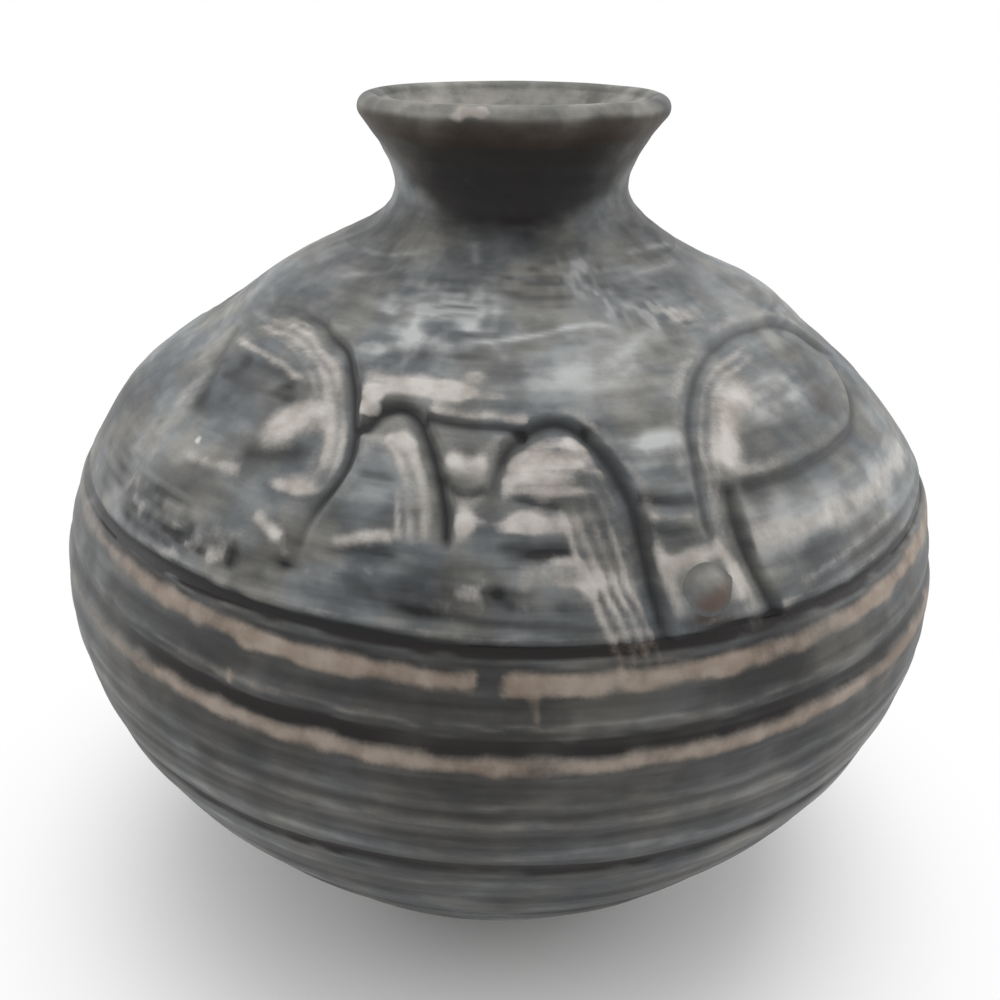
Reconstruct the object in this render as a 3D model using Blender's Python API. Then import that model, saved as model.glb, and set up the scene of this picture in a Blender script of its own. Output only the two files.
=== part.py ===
"""A miniature wheel-thrown vase: a squat ringed bowl, a carved shoulder and a short flared neck.

The pot is built from the sections that a potter throws and lutes together: foot ring, lower bowl,
shoulder, neck collar and mouth rim, with clay pellets pressed into the carved band. Each section
laps over the tongue of the one below it, with the film of slip between them left as a gap.
Lengths are in metres, +Z is up, the front of the carved band faces -Y and the foot stands on z = 0.
"""

import math

import bmesh
import bpy
import numpy as np
from mathutils import Matrix, Vector

MM = 0.001

# Outer form: radii of the points that the wall passes through, and their heights,
# or their insets and rises from the belly and their drops below the lip
FOOT_RADIUS = 16.8 * MM
FOOT_HEIGHT = 2.6 * MM
BOWL_FOOT_RADIUS = 19.6 * MM
BELLY_RADIUS = 38.0 * MM
BELLY_HEIGHT = 31.5 * MM
CROWN_INSET = 4.6 * MM
CROWN_RISE = 13.1 * MM
SHOULDER_RADIUS = 16.8 * MM
SHOULDER_DROP = 13.0 * MM
NECK_RADIUS = 9.4 * MM
NECK_DROP = 7.0 * MM
LIP_RADIUS = 12.5 * MM
TOTAL_HEIGHT = 70.0 * MM

# How the wall runs between those points: slopes from the horizontal, and pulls along them
BOWL_SLOPE = math.radians(40)
BOWL_FOOT_PULL = 11.5 * MM
BOWL_BELLY_PULL = 12.0 * MM
CROWN_SLOPE = math.radians(124)
CROWN_BELLY_PULL = 4.0 * MM
CROWN_LOWER_PULL = 4.5 * MM
CROWN_UPPER_PULL = 6.0 * MM
SHOULDER_SLOPE = math.radians(153)
SHOULDER_PULL = 6.0 * MM
NECK_ROOT_PULL = 4.0 * MM
NECK_LOWER_PULL = 2.0 * MM
NECK_UPPER_PULL = 2.0 * MM
FLARE_SLOPE = math.radians(53)
FLARE_PULL = 1.6 * MM

# Walls, lip and foot
WALL = 2.8 * MM
FLOOR = 4.0 * MM
FLOOR_FILLET = 5.0 * MM
LIP_BEAD = 1.1 * MM
FOOT_WIDTH = 4.2 * MM
FOOT_CHAMFER = 0.5 * MM

# Luted joints: the tongue of the lower section, the film of slip round it, and where the seams lie
TONGUE = 1.2 * MM
SLIP_GAP = 0.3 * MM
FOOT_TONGUE_WIDTH = 1.6 * MM
BAND_RISE = 8.9 * MM
NECK_SEAM_DROP = 11.4 * MM
RIM_SEAM_DROP = 4.4 * MM
BAND_FOOT_HEIGHT = BELLY_HEIGHT + BAND_RISE
BAND_HEIGHT = TOTAL_HEIGHT - NECK_SEAM_DROP - BAND_FOOT_HEIGHT

# Turned grooves of the bowl: drop below the band, width and depth of each
BOWL_GROOVES = (
    (0.75 * MM, 1.5 * MM, 0.70 * MM),
    (3.8 * MM, 1.3 * MM, 0.35 * MM),
    (5.6 * MM, 2.0 * MM, 0.60 * MM),
    (9.9 * MM, 2.7 * MM, 0.30 * MM),
    (13.6 * MM, 1.7 * MM, 0.25 * MM),
    (16.5 * MM, 1.7 * MM, 0.60 * MM),
    (21.0 * MM, 1.0 * MM, 0.30 * MM),
    (25.3 * MM, 1.2 * MM, 0.30 * MM),
    (30.0 * MM, 1.0 * MM, 0.30 * MM),
)
GROOVE_FLAT = 0.4

# Carved strokes: degrees round from the front, and share of the band's height above its foot
LEFT_ARCH = (
    (-54, 0.10),
    (-51, 0.40),
    (-62, 0.62),
    (-63, 0.78),
    (-48, 0.82),
    (-33, 0.77),
    (-23, 0.60),
    (-21, 0.43),
    (-22, 0.24),
)
SMALL_ARCH = (
    (-20, 0.45),
    (-16, 0.63),
    (-10, 0.54),
    (-5, 0.24),
)
JOINING_LINE = (
    (-9, 0.60),
    (0, 0.58),
)
LONG_ARCH = (
    (-1, 0.24),
    (0, 0.50),
    (7, 0.62),
    (14, 0.52),
    (17.5, 0.27),
    (18.5, 0.04),
)
TAILED_LOOP = (
    (31.5, 0.04),
    (29.5, 0.27),
    (27, 0.49),
    (33, 0.68),
    (50, 0.78),
    (68, 0.75),
    (82, 0.59),
    (74, 0.42),
    (50, 0.385),
    (33, 0.385),
)
STROKES = (LEFT_ARCH, SMALL_ARCH, JOINING_LINE, LONG_ARCH, TAILED_LOOP)
STROKE_WIDTH = 2.0 * MM
STROKE_DEPTH = 0.7 * MM
STROKE_LIFT = 0.6 * MM
# The loop tool's section: share of the width across, share of the depth down
TOOL_SECTION = ((-0.5, 0.3), (0.35, 1.0), (0.5, 0.5))
BAND_REPEATS = 2

# Pellets pressed into the band
PELLET_TURN = math.radians(23.5)
PELLET_RISE = 2.1 * MM
PELLET_RADIUS = 1.5 * MM
PELLET_CROWN = 0.8 * MM
PELLET_EDGE = 0.25 * MM
PEG_RADIUS = 0.8 * MM
PEG_LENGTH = 0.5 * MM

# Fineness of the meshes
SEGMENTS = 48
PELLET_SEGMENTS = 16
CURVE_STEPS = 40
WALL_STEP = 3.4 * MM
ARC_STEPS = 7
STROKE_STEPS = 2
MERGE = 0.001 * MM
SHARP_ANGLE = math.radians(40)

# Finishes: colour, roughness
BARE_CLAY = ("bare_clay", (0.36, 0.27, 0.21, 1), 0.85)
RINGED_GLAZE = ("ringed_glaze", (0.10, 0.11, 0.12, 1), 0.55)
CARVED_GLAZE = ("carved_glaze", (0.15, 0.16, 0.17, 1), 0.5)
NECK_GLAZE = ("neck_glaze", (0.05, 0.05, 0.055, 1), 0.45)
RIM_GLAZE = ("rim_glaze", (0.16, 0.155, 0.145, 1), 0.5)
PELLET_GLAZE = ("pellet_glaze", (0.12, 0.115, 0.12, 1), 0.5)


def bezier(start, start_handle, end_handle, end):
    """Points of a cubic curve, as an array of radius and height."""
    t = np.linspace(0, 1, CURVE_STEPS + 1)[:, None]
    points = [np.array(point) for point in (start, start_handle, end_handle, end)]
    weights = ((1 - t) ** 3, 3 * t * (1 - t) ** 2, 3 * t**2 * (1 - t), t**3)
    return sum(weight * point for weight, point in zip(weights, points))


def along(point, slope, distance):
    """The point this distance from another, along a slope from the horizontal."""
    return point[0] + distance * math.cos(slope), point[1] + distance * math.sin(slope)


class Wall:
    """The outer curve of the pot, with points found by height, by length along it and by depth."""

    def __init__(self):
        """Joins the bowl, band, shoulder, neck root and flare into one smooth curve."""
        up = math.radians(90)
        foot = (BOWL_FOOT_RADIUS, FOOT_HEIGHT)
        belly = (BELLY_RADIUS, BELLY_HEIGHT)
        crown = (BELLY_RADIUS - CROWN_INSET, BELLY_HEIGHT + CROWN_RISE)
        shoulder = (SHOULDER_RADIUS, TOTAL_HEIGHT - SHOULDER_DROP)
        neck = (NECK_RADIUS, TOTAL_HEIGHT - NECK_DROP)
        lip = lip_point(FLARE_SLOPE - up)
        stretches = (
            (foot, along(foot, BOWL_SLOPE, BOWL_FOOT_PULL), along(belly, up, -BOWL_BELLY_PULL), belly),
            (
                belly,
                along(belly, up, CROWN_BELLY_PULL),
                along(crown, CROWN_SLOPE, -CROWN_LOWER_PULL),
                crown,
            ),
            (
                crown,
                along(crown, CROWN_SLOPE, CROWN_UPPER_PULL),
                along(shoulder, SHOULDER_SLOPE, -SHOULDER_PULL),
                shoulder,
            ),
            (
                shoulder,
                along(shoulder, SHOULDER_SLOPE, NECK_ROOT_PULL),
                along(neck, up, -NECK_LOWER_PULL),
                neck,
            ),
            (neck, along(neck, up, NECK_UPPER_PULL), along(lip, FLARE_SLOPE, -FLARE_PULL), lip),
        )
        curves = [bezier(*stretch) for stretch in stretches]
        self.points = np.vstack([curves[0], *(curve[1:] for curve in curves[1:])])
        steps = np.linalg.norm(np.diff(self.points, axis=0), axis=1)
        self.lengths = np.concatenate([[0], np.cumsum(steps)])
        tangents = np.gradient(self.points, self.lengths, axis=0)
        tangents /= np.linalg.norm(tangents, axis=1)[:, None]
        self.normals = np.column_stack([tangents[:, 1], -tangents[:, 0]])

    def length_at(self, height):
        """Length along the curve at which it reaches this height."""
        return float(np.interp(height, self.points[:, 1], self.lengths))

    def normal(self, length):
        """Outward radius and height parts of the normal at this length."""
        parts = [np.interp(length, self.lengths, self.normals[:, axis]) for axis in (0, 1)]
        return np.array(parts) / np.linalg.norm(parts)

    def at(self, length, depth=0.0):
        """The radius and height at this length along the curve, this deep in the clay."""
        point = [np.interp(length, self.lengths, self.points[:, axis]) for axis in (0, 1)]
        return tuple(np.array(point) - depth * self.normal(length))

    def run(self, first, last, depth=0.0):
        """Evenly spaced points from one length to another at one depth, both ends included."""
        count = max(2, math.ceil(abs(last - first) / WALL_STEP) + 1)
        return [self.at(length, depth) for length in np.linspace(first, last, count)]

    def tongue_edge(self, seam):
        """Top edge of the section below a seam, from the outside in, with its tongue."""
        low = seam - SLIP_GAP / 2
        high = low + TONGUE
        inset = (WALL + SLIP_GAP) / 2
        return [self.at(low, inset), self.at(high, inset)]

    def lap_edge(self, seam):
        """Lower edge of the section above a seam, from the inside out, lapped over that tongue."""
        low = seam + SLIP_GAP / 2
        high = low + TONGUE
        inset = (WALL - SLIP_GAP) / 2
        return [self.at(high, inset), self.at(low, inset)]


def lip_point(angle):
    """A point on the round bead of the lip, at this angle up from the outside."""
    return (
        LIP_RADIUS - LIP_BEAD + LIP_BEAD * math.cos(angle),
        TOTAL_HEIGHT - LIP_BEAD + LIP_BEAD * math.sin(angle),
    )


def finish(obj, look):
    """Gives an object its material and smooth shading with crisp edges."""
    name, colour, roughness = look
    material = bpy.data.materials.get(name) or bpy.data.materials.new(name)
    material.use_nodes = True
    shader = material.node_tree.nodes["Principled BSDF"]
    shader.inputs["Base Color"].default_value = colour
    shader.inputs["Roughness"].default_value = roughness
    shader.inputs["Metallic"].default_value = 0
    material.diffuse_color = colour
    obj.data.materials.append(material)
    obj.data.shade_smooth()
    obj.data.set_sharp_from_angle(angle=SHARP_ANGLE)


def new_object(name, mesh_maker):
    """Makes a mesh object from a bmesh that another function has filled."""
    mesh = bpy.data.meshes.new(name)
    bmesh.ops.remove_doubles(mesh_maker, verts=mesh_maker.verts, dist=MERGE)
    bmesh.ops.recalc_face_normals(mesh_maker, faces=mesh_maker.faces)
    mesh_maker.to_mesh(mesh)
    mesh_maker.free()
    obj = bpy.data.objects.new(name, mesh)
    bpy.context.scene.collection.objects.link(obj)
    return obj


def turned(name, outline, segments=SEGMENTS):
    """Turns an outline of radius and height points round the Z axis.

    An outline that starts and ends on the axis is left open there, any other is closed.
    """
    maker = bmesh.new()
    verts = [maker.verts.new((radius, 0, height)) for radius, height in outline]
    pairs = list(zip(verts, verts[1:]))
    if outline[0][0] > 0:
        pairs.append((verts[-1], verts[0]))
    edges = [maker.edges.new(pair) for pair in pairs]
    bmesh.ops.spin(
        maker,
        geom=verts + edges,
        axis=(0, 0, 1),
        cent=(0, 0, 0),
        angle=math.tau,
        steps=segments,
        use_duplicate=False,
    )
    return new_object(name, maker)


def hide_cutter(obj):
    """Marks an object as a cutting tool, which isn't part of the pot."""
    obj.hide_render = True
    obj.display_type = "WIRE"


def carve(obj, cutters):
    """Cuts a collection of tools out of an object."""
    cut = obj.modifiers.new("carve", "BOOLEAN")
    cut.operation = "DIFFERENCE"
    cut.solver = "EXACT"
    cut.operand_type = "COLLECTION"
    cut.collection = cutters


def bowl_outside(wall, top):
    """Outer points of the bowl from its top edge down to its foot, with the turned grooves."""
    stations = {top: 0.0, 0.0: 0.0}
    for drop, width, depth in BOWL_GROOVES:
        middle = wall.length_at(BAND_FOOT_HEIGHT - drop)
        for across, share in ((-1, 0), (-GROOVE_FLAT, 1), (GROOVE_FLAT, 1), (1, 0)):
            stations[middle + across * width / 2] = share * depth
    lengths = [length for length in sorted(stations, reverse=True) if 0 <= length <= top]
    points = []
    for upper, lower in zip(lengths, lengths[1:]):
        plain = stations[upper] == 0 and stations[lower] == 0
        stretch = wall.run(upper, lower)[:-1] if plain else [wall.at(upper, stations[upper])]
        points.extend(stretch)
    return [*points, wall.at(lengths[-1])]


def build_foot_ring():
    """The turned ring that the pot stands on, with a tongue that enters the bowl's underside."""
    inner = FOOT_RADIUS - FOOT_WIDTH
    middle = FOOT_RADIUS - FOOT_WIDTH / 2
    top = FOOT_HEIGHT - SLIP_GAP
    tongue_in = middle - FOOT_TONGUE_WIDTH / 2
    tongue_out = middle + FOOT_TONGUE_WIDTH / 2
    outline = [
        (tongue_in, top),
        (tongue_in, top + TONGUE),
        (tongue_out, top + TONGUE),
        (tongue_out, top),
        (FOOT_RADIUS, top),
        (FOOT_RADIUS, FOOT_CHAMFER),
        (FOOT_RADIUS - FOOT_CHAMFER, 0),
        (inner + FOOT_CHAMFER, 0),
        (inner, FOOT_CHAMFER),
        (inner, top),
    ]
    finish(turned("foot_ring", outline), BARE_CLAY)


def build_lower_bowl(wall, seam):
    """The grooved bowl with its floor, the groove for the foot ring and the tongue on its edge."""
    low = seam - SLIP_GAP / 2
    middle = FOOT_RADIUS - FOOT_WIDTH / 2
    groove = FOOT_TONGUE_WIDTH / 2 + SLIP_GAP
    groove_top = FOOT_HEIGHT + TONGUE
    floor_top = FOOT_HEIGHT + FLOOR
    fillet_end = wall.length_at(floor_top + FLOOR_FILLET)
    inside = wall.run(low + TONGUE, fillet_end, WALL)
    outline = [
        *bowl_outside(wall, low)[::-1],
        *wall.tongue_edge(seam),
        *inside,
        (inside[-1][0] - FLOOR_FILLET, floor_top),
        (0, floor_top),
    ]
    underside = [
        (0, FOOT_HEIGHT),
        (middle - groove, FOOT_HEIGHT),
        (middle - groove, groove_top),
        (middle + groove, groove_top),
        (middle + groove, FOOT_HEIGHT),
    ]
    finish(turned("lower_bowl", [*underside, *outline]), RINGED_GLAZE)


def surface_frame(wall, turn, height):
    """Point and outward normal on the pot's outside, at a turn from the front and a height."""
    length = wall.length_at(height)
    round_it = Vector((math.sin(turn), -math.cos(turn), 0))
    radius, level = wall.at(length)
    out, rise = wall.normal(length)
    return round_it * radius + Vector((0, 0, level)), round_it * out + Vector((0, 0, rise))


def smooth_path(points):
    """A smooth run of points through a stroke's own points."""
    knots = np.array([points[0], *points, points[-1]], float)
    path = []
    for before, start, end, after in zip(knots, knots[1:], knots[2:], knots[3:]):
        for t in np.arange(STROKE_STEPS) / STROKE_STEPS:
            bend = 2 * before - 5 * start + 4 * end - after
            twist = 3 * start - before - 3 * end + after
            path.append(start + 0.5 * (t * (end - before) + t**2 * bend + t**3 * twist))
    return [*path, knots[-1]]


def stroke_cutter(name, wall, stroke, round_turn):
    """The clay that a loop tool takes out along one stroke of the carved band."""
    frames = [
        surface_frame(wall, math.radians(degrees) + round_turn, BAND_FOOT_HEIGHT + share * BAND_HEIGHT)
        for degrees, share in smooth_path(stroke)
    ]
    section = [(across * STROKE_WIDTH, -down * STROKE_DEPTH) for across, down in TOOL_SECTION]
    section += [(STROKE_WIDTH / 2, STROKE_LIFT), (-STROKE_WIDTH / 2, STROKE_LIFT)]
    maker = bmesh.new()
    rings = []
    for index, (point, normal) in enumerate(frames):
        ahead = frames[min(index + 1, len(frames) - 1)][0]
        behind = frames[max(index - 1, 0)][0]
        side = normal.cross(ahead - behind).normalized()
        rings.append([maker.verts.new(point + side * across + normal * up) for across, up in section])
    for ring, following in zip(rings, rings[1:]):
        for corner in range(len(section)):
            beside = (corner + 1) % len(section)
            maker.faces.new((ring[corner], ring[beside], following[beside], following[corner]))
    maker.faces.new(rings[0])
    maker.faces.new(rings[-1])
    cutter = new_object(name, maker)
    hide_cutter(cutter)
    return cutter


def pellet_place(wall, round_turn):
    """The frame of a pellet: its origin on the pot's outside, its own Z axis facing out."""
    point, normal = surface_frame(wall, PELLET_TURN + round_turn, BAND_FOOT_HEIGHT + PELLET_RISE)
    return Matrix.Translation(point) @ normal.to_track_quat("Z", "X").to_matrix().to_4x4()


def build_pellet(name, place):
    """A domed pellet of clay on a short peg."""
    arc = np.linspace(0, math.pi / 2, ARC_STEPS)
    edge = SLIP_GAP + PELLET_EDGE
    dome = [(PELLET_RADIUS * math.cos(angle), edge + PELLET_CROWN * math.sin(angle)) for angle in arc]
    outline = [
        (0, -PEG_LENGTH),
        (PEG_RADIUS, -PEG_LENGTH),
        (PEG_RADIUS, SLIP_GAP),
        (PELLET_RADIUS, SLIP_GAP),
        *dome[:-1],
        (0, dome[-1][1]),
    ]
    pellet = turned(name, outline, PELLET_SEGMENTS)
    pellet.matrix_world = place
    finish(pellet, PELLET_GLAZE)


def pellet_socket(name, place):
    """The hole that a pellet's peg is pressed into."""
    radius = PEG_RADIUS + SLIP_GAP
    bottom = -PEG_LENGTH - SLIP_GAP
    outline = [(0, bottom), (radius, bottom), (radius, STROKE_LIFT), (0, STROKE_LIFT)]
    socket = turned(name, outline, PELLET_SEGMENTS)
    socket.matrix_world = place
    hide_cutter(socket)
    return socket


def build_shoulder(wall, bowl_seam, neck_seam):
    """The domed shoulder with its carved band, and the pellets pressed into it."""
    low = bowl_seam + SLIP_GAP / 2
    high = neck_seam - SLIP_GAP / 2
    outline = [
        *wall.lap_edge(bowl_seam),
        *wall.run(low, high),
        *wall.tongue_edge(neck_seam),
        *wall.run(high + TONGUE, low + TONGUE, WALL),
    ]
    shoulder = turned("shoulder_dome", outline)
    finish(shoulder, CARVED_GLAZE)
    tools = bpy.data.collections.new("carving_tools")
    bpy.context.scene.collection.children.link(tools)
    for repeat in range(BAND_REPEATS):
        round_turn = math.tau * repeat / BAND_REPEATS
        place = pellet_place(wall, round_turn)
        build_pellet(f"pellet_{repeat + 1}", place)
        cutters = [pellet_socket(f"socket_{repeat + 1}", place)]
        for number, stroke in enumerate(STROKES, 1):
            cutters.append(stroke_cutter(f"stroke_{repeat + 1}_{number}", wall, stroke, round_turn))
        for cutter in cutters:
            bpy.context.scene.collection.objects.unlink(cutter)
            tools.objects.link(cutter)
    carve(shoulder, tools)


def build_neck(wall, shoulder_seam, rim_seam):
    """The waisted collar between the shoulder and the rim."""
    low = shoulder_seam + SLIP_GAP / 2
    high = rim_seam - SLIP_GAP / 2
    outline = [
        *wall.lap_edge(shoulder_seam),
        *wall.run(low, high),
        *wall.tongue_edge(rim_seam),
        *wall.run(high + TONGUE, low + TONGUE, WALL),
    ]
    finish(turned("neck_collar", outline), NECK_GLAZE)


def build_rim(wall, seam):
    """The flared mouth with its round lip."""
    low = seam + SLIP_GAP / 2
    bead = np.linspace(FLARE_SLOPE - math.pi / 2, math.pi, ARC_STEPS)
    outline = [
        *wall.lap_edge(seam),
        *wall.run(low, wall.lengths[-1])[:-1],
        *(lip_point(angle) for angle in bead),
        wall.at(low + TONGUE, WALL),
    ]
    finish(turned("mouth_rim", outline), RIM_GLAZE)


def main():
    """Builds every section of the pot, from the foot up."""
    for obj in list(bpy.data.objects):
        bpy.data.objects.remove(obj)
    wall = Wall()
    bowl_seam = wall.length_at(BAND_FOOT_HEIGHT)
    neck_seam = wall.length_at(TOTAL_HEIGHT - NECK_SEAM_DROP)
    rim_seam = wall.length_at(TOTAL_HEIGHT - RIM_SEAM_DROP)
    build_foot_ring()
    build_lower_bowl(wall, bowl_seam)
    build_shoulder(wall, bowl_seam, neck_seam)
    build_neck(wall, neck_seam, rim_seam)
    build_rim(wall, rim_seam)


main()
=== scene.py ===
"""Dresses the miniature vase: a thrown pot in worn charcoal slip, carved by hand round its shoulder.

The sections of the frame are replaced by finely turned ones on the same wall curve. The rings of
the bowl and the strokes of the band are moved into their surfaces, and each mark also leaves its
trace in the slip: bare clay on the ridges, dark pools in the grooves, a pale film where it was wiped.
Other traces are painted light and shade: the dark front of the neck, shade over the bowl that
lightens towards the foot, shadows under the lip and the pellet, and sheen and highlights on the
shoulder and the pellet.
Lengths are in metres, but for the marks and the skin that they are pressed into, which are in
millimetres. +Z is up and the carved front faces -Y. Turns round the pot are in degrees from the
front, positive towards +X.
"""

import logging
import math
from dataclasses import dataclass, field
from enum import Enum

import bpy
import numpy as np
from mathutils import Matrix, Vector


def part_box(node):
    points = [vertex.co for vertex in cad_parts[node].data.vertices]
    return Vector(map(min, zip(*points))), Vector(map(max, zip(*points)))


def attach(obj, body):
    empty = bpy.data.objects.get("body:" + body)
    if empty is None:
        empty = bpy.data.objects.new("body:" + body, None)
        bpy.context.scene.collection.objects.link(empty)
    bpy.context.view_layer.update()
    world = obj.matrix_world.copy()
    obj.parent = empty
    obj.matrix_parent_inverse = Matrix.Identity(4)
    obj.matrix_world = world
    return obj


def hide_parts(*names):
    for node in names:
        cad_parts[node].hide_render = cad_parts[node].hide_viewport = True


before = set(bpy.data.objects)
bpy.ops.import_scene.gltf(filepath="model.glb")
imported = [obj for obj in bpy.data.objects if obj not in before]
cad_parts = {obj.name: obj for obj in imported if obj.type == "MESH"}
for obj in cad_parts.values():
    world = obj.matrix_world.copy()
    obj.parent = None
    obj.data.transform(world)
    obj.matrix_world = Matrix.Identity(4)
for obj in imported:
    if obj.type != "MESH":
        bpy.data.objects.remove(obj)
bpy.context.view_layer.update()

MM = 0.001
BODY = "root"
STATION = "station"
MERGE = 0.004 * MM
TINY = 1e-12
SHARP_ANGLE = math.radians(70)
UPRIGHT = math.pi / 2
BAND_PERIOD = 180.0
FOLD_START = -82.5
LINE_STEPS = 7
LINE_END = 0.01
BAND_FOOT = 40.4 * MM
NECK_SEAM = 58.6 * MM
RIM_SEAM = 65.6 * MM
WHITE = (1.0, 1.0, 1.0)
log = logging.getLogger("vase")

Array = np.ndarray
Socket = bpy.types.NodeSocket
Colour = tuple[float, float, float]
Spot = tuple[float, float]
Points = tuple[Spot, ...]


class Trace(Enum):
    """What a mark leaves in the slip, or the light and shade painted onto it, each kept as an attribute of
    the mesh.
    """

    # The pooled slip also carries painted shade, the pale film painted sheen and highlights, and the brown
    # painted shadows
    CLAY = "worn_clay"
    POOL_AND_SHADE = "pooled_slip_and_shade"
    FILM_AND_SHEEN = "pale_film_and_sheen"
    BROWN = "iron_brown_and_shade"


CLAY, POOL_AND_SHADE, FILM_AND_SHEEN, BROWN = Trace


def smooth(share: Array) -> Array:
    """Eases a share from 0 to 1, held at both ends."""
    held = np.clip(share, 0, 1)
    return held * held * (3 - 2 * held)


def plateau(distance: Array, half_width: float, soft: float) -> Array:
    """A share of 1 within a half width of the middle, which eases to 0 over a soft edge."""
    return smooth((half_width - np.abs(distance)) / soft + 0.5)


def bell(distance: Array, width: float) -> Array:
    """A share of 1 at the middle, which falls off as a bell of this width."""
    return np.exp(-((distance / width) ** 2))


def off_turn(turn: Array, middle: float) -> Array:
    """Turns from the middle of a mark, or from its repeat at the back where that is nearer."""
    return np.mod(turn - middle + BAND_PERIOD / 2, BAND_PERIOD) - BAND_PERIOD / 2


def swing(radius: Array, around: Array, height: Array) -> Array:
    """Places at these radii and heights, swung round the pot from its front by angles in radians."""
    return np.column_stack([radius * np.sin(around), -radius * np.cos(around), height])


def run_lengths(points: Array) -> Array:
    """Lengths along a run of points, from its first one."""
    return np.concatenate([[0], np.cumsum(np.linalg.norm(np.diff(points, axis=0), axis=1))])


def run_normals(points: Array) -> Array:
    """Finds the outward normals of a run that climbs the outside.

    Args:
        points: Its points, one row of radius and height each.

    Returns:
        One normal for each point.
    """
    tangents = np.gradient(points, axis=0)
    tangents /= np.maximum(np.linalg.norm(tangents, axis=1), TINY)[:, None]
    return np.column_stack([tangents[:, 1], -tangents[:, 0]])


@dataclass(frozen=True)
class Mottle:
    """Seeded unevenness over the pot: random values on a net, blended between its knots."""

    seed: int
    turn_cells: int
    cell_length: float
    rows: int = 400

    def at(self, turn: Array, length: Array) -> Array:
        """Reads the unevenness.

        Args:
            turn: Turns round the pot.
            length: Lengths along the wall curve.

        Returns:
            Values from -1 to 1.
        """
        net = np.random.default_rng(self.seed).uniform(-1, 1, (self.rows, self.turn_cells))
        across = np.mod(turn / 360, 1) * self.turn_cells
        along = np.clip(length / self.cell_length, 0, self.rows - 2)
        left = np.floor(across).astype(int)
        low = np.floor(along).astype(int)
        right = (left + 1) % self.turn_cells
        blend = smooth(across - left)
        rise = smooth(along - low)
        left = left % self.turn_cells
        lower = net[low, left] * (1 - blend) + net[low, right] * blend
        upper = net[low + 1, left] * (1 - blend) + net[low + 1, right] * blend
        return lower * (1 - rise) + upper * rise

    def over(self, spots: "Skin | Run", scale: Spot = (1, 1)) -> Array:
        """Reads the unevenness at points of a surface, finer by a scale round the pot and along it."""
        return self.at(scale[0] * spots.turn, scale[1] * spots.length)

    def about(self, middle: float, reach: float, spots: "Skin | Run") -> Array:
        """Uneven values about a middle one, within a reach."""
        return middle + reach * self.over(spots)


STROKE_WOBBLE = Mottle(seed=17, turn_cells=80, cell_length=2.2)
TEARS = Mottle(seed=18, turn_cells=260, cell_length=0.8)
RING_WOBBLE = Mottle(seed=11, turn_cells=26, cell_length=3)
EDGE_WOBBLE = Mottle(seed=12, turn_cells=150, cell_length=1.2)
BLOTCHES = Mottle(seed=13, turn_cells=60, cell_length=3)
THROWING = Mottle(seed=14, turn_cells=9, cell_length=0.9)
STREAKS = Mottle(seed=15, turn_cells=52, cell_length=0.5)
FINE_LINES = Mottle(seed=19, turn_cells=8, cell_length=0.45)
DENTS = Mottle(seed=16, turn_cells=22, cell_length=6)


@dataclass(frozen=True)
class Station:
    """A point that the wall passes, in radius and height, and its slope there from the horizontal."""

    radius: float
    height: float
    slope: float

    def along(self, pull: float = 0.0) -> Array:
        """The point that lies this far on along the slope."""
        way = pull * np.array([math.cos(self.slope), math.sin(self.slope)])
        return np.array([self.radius, self.height]) + way


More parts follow.
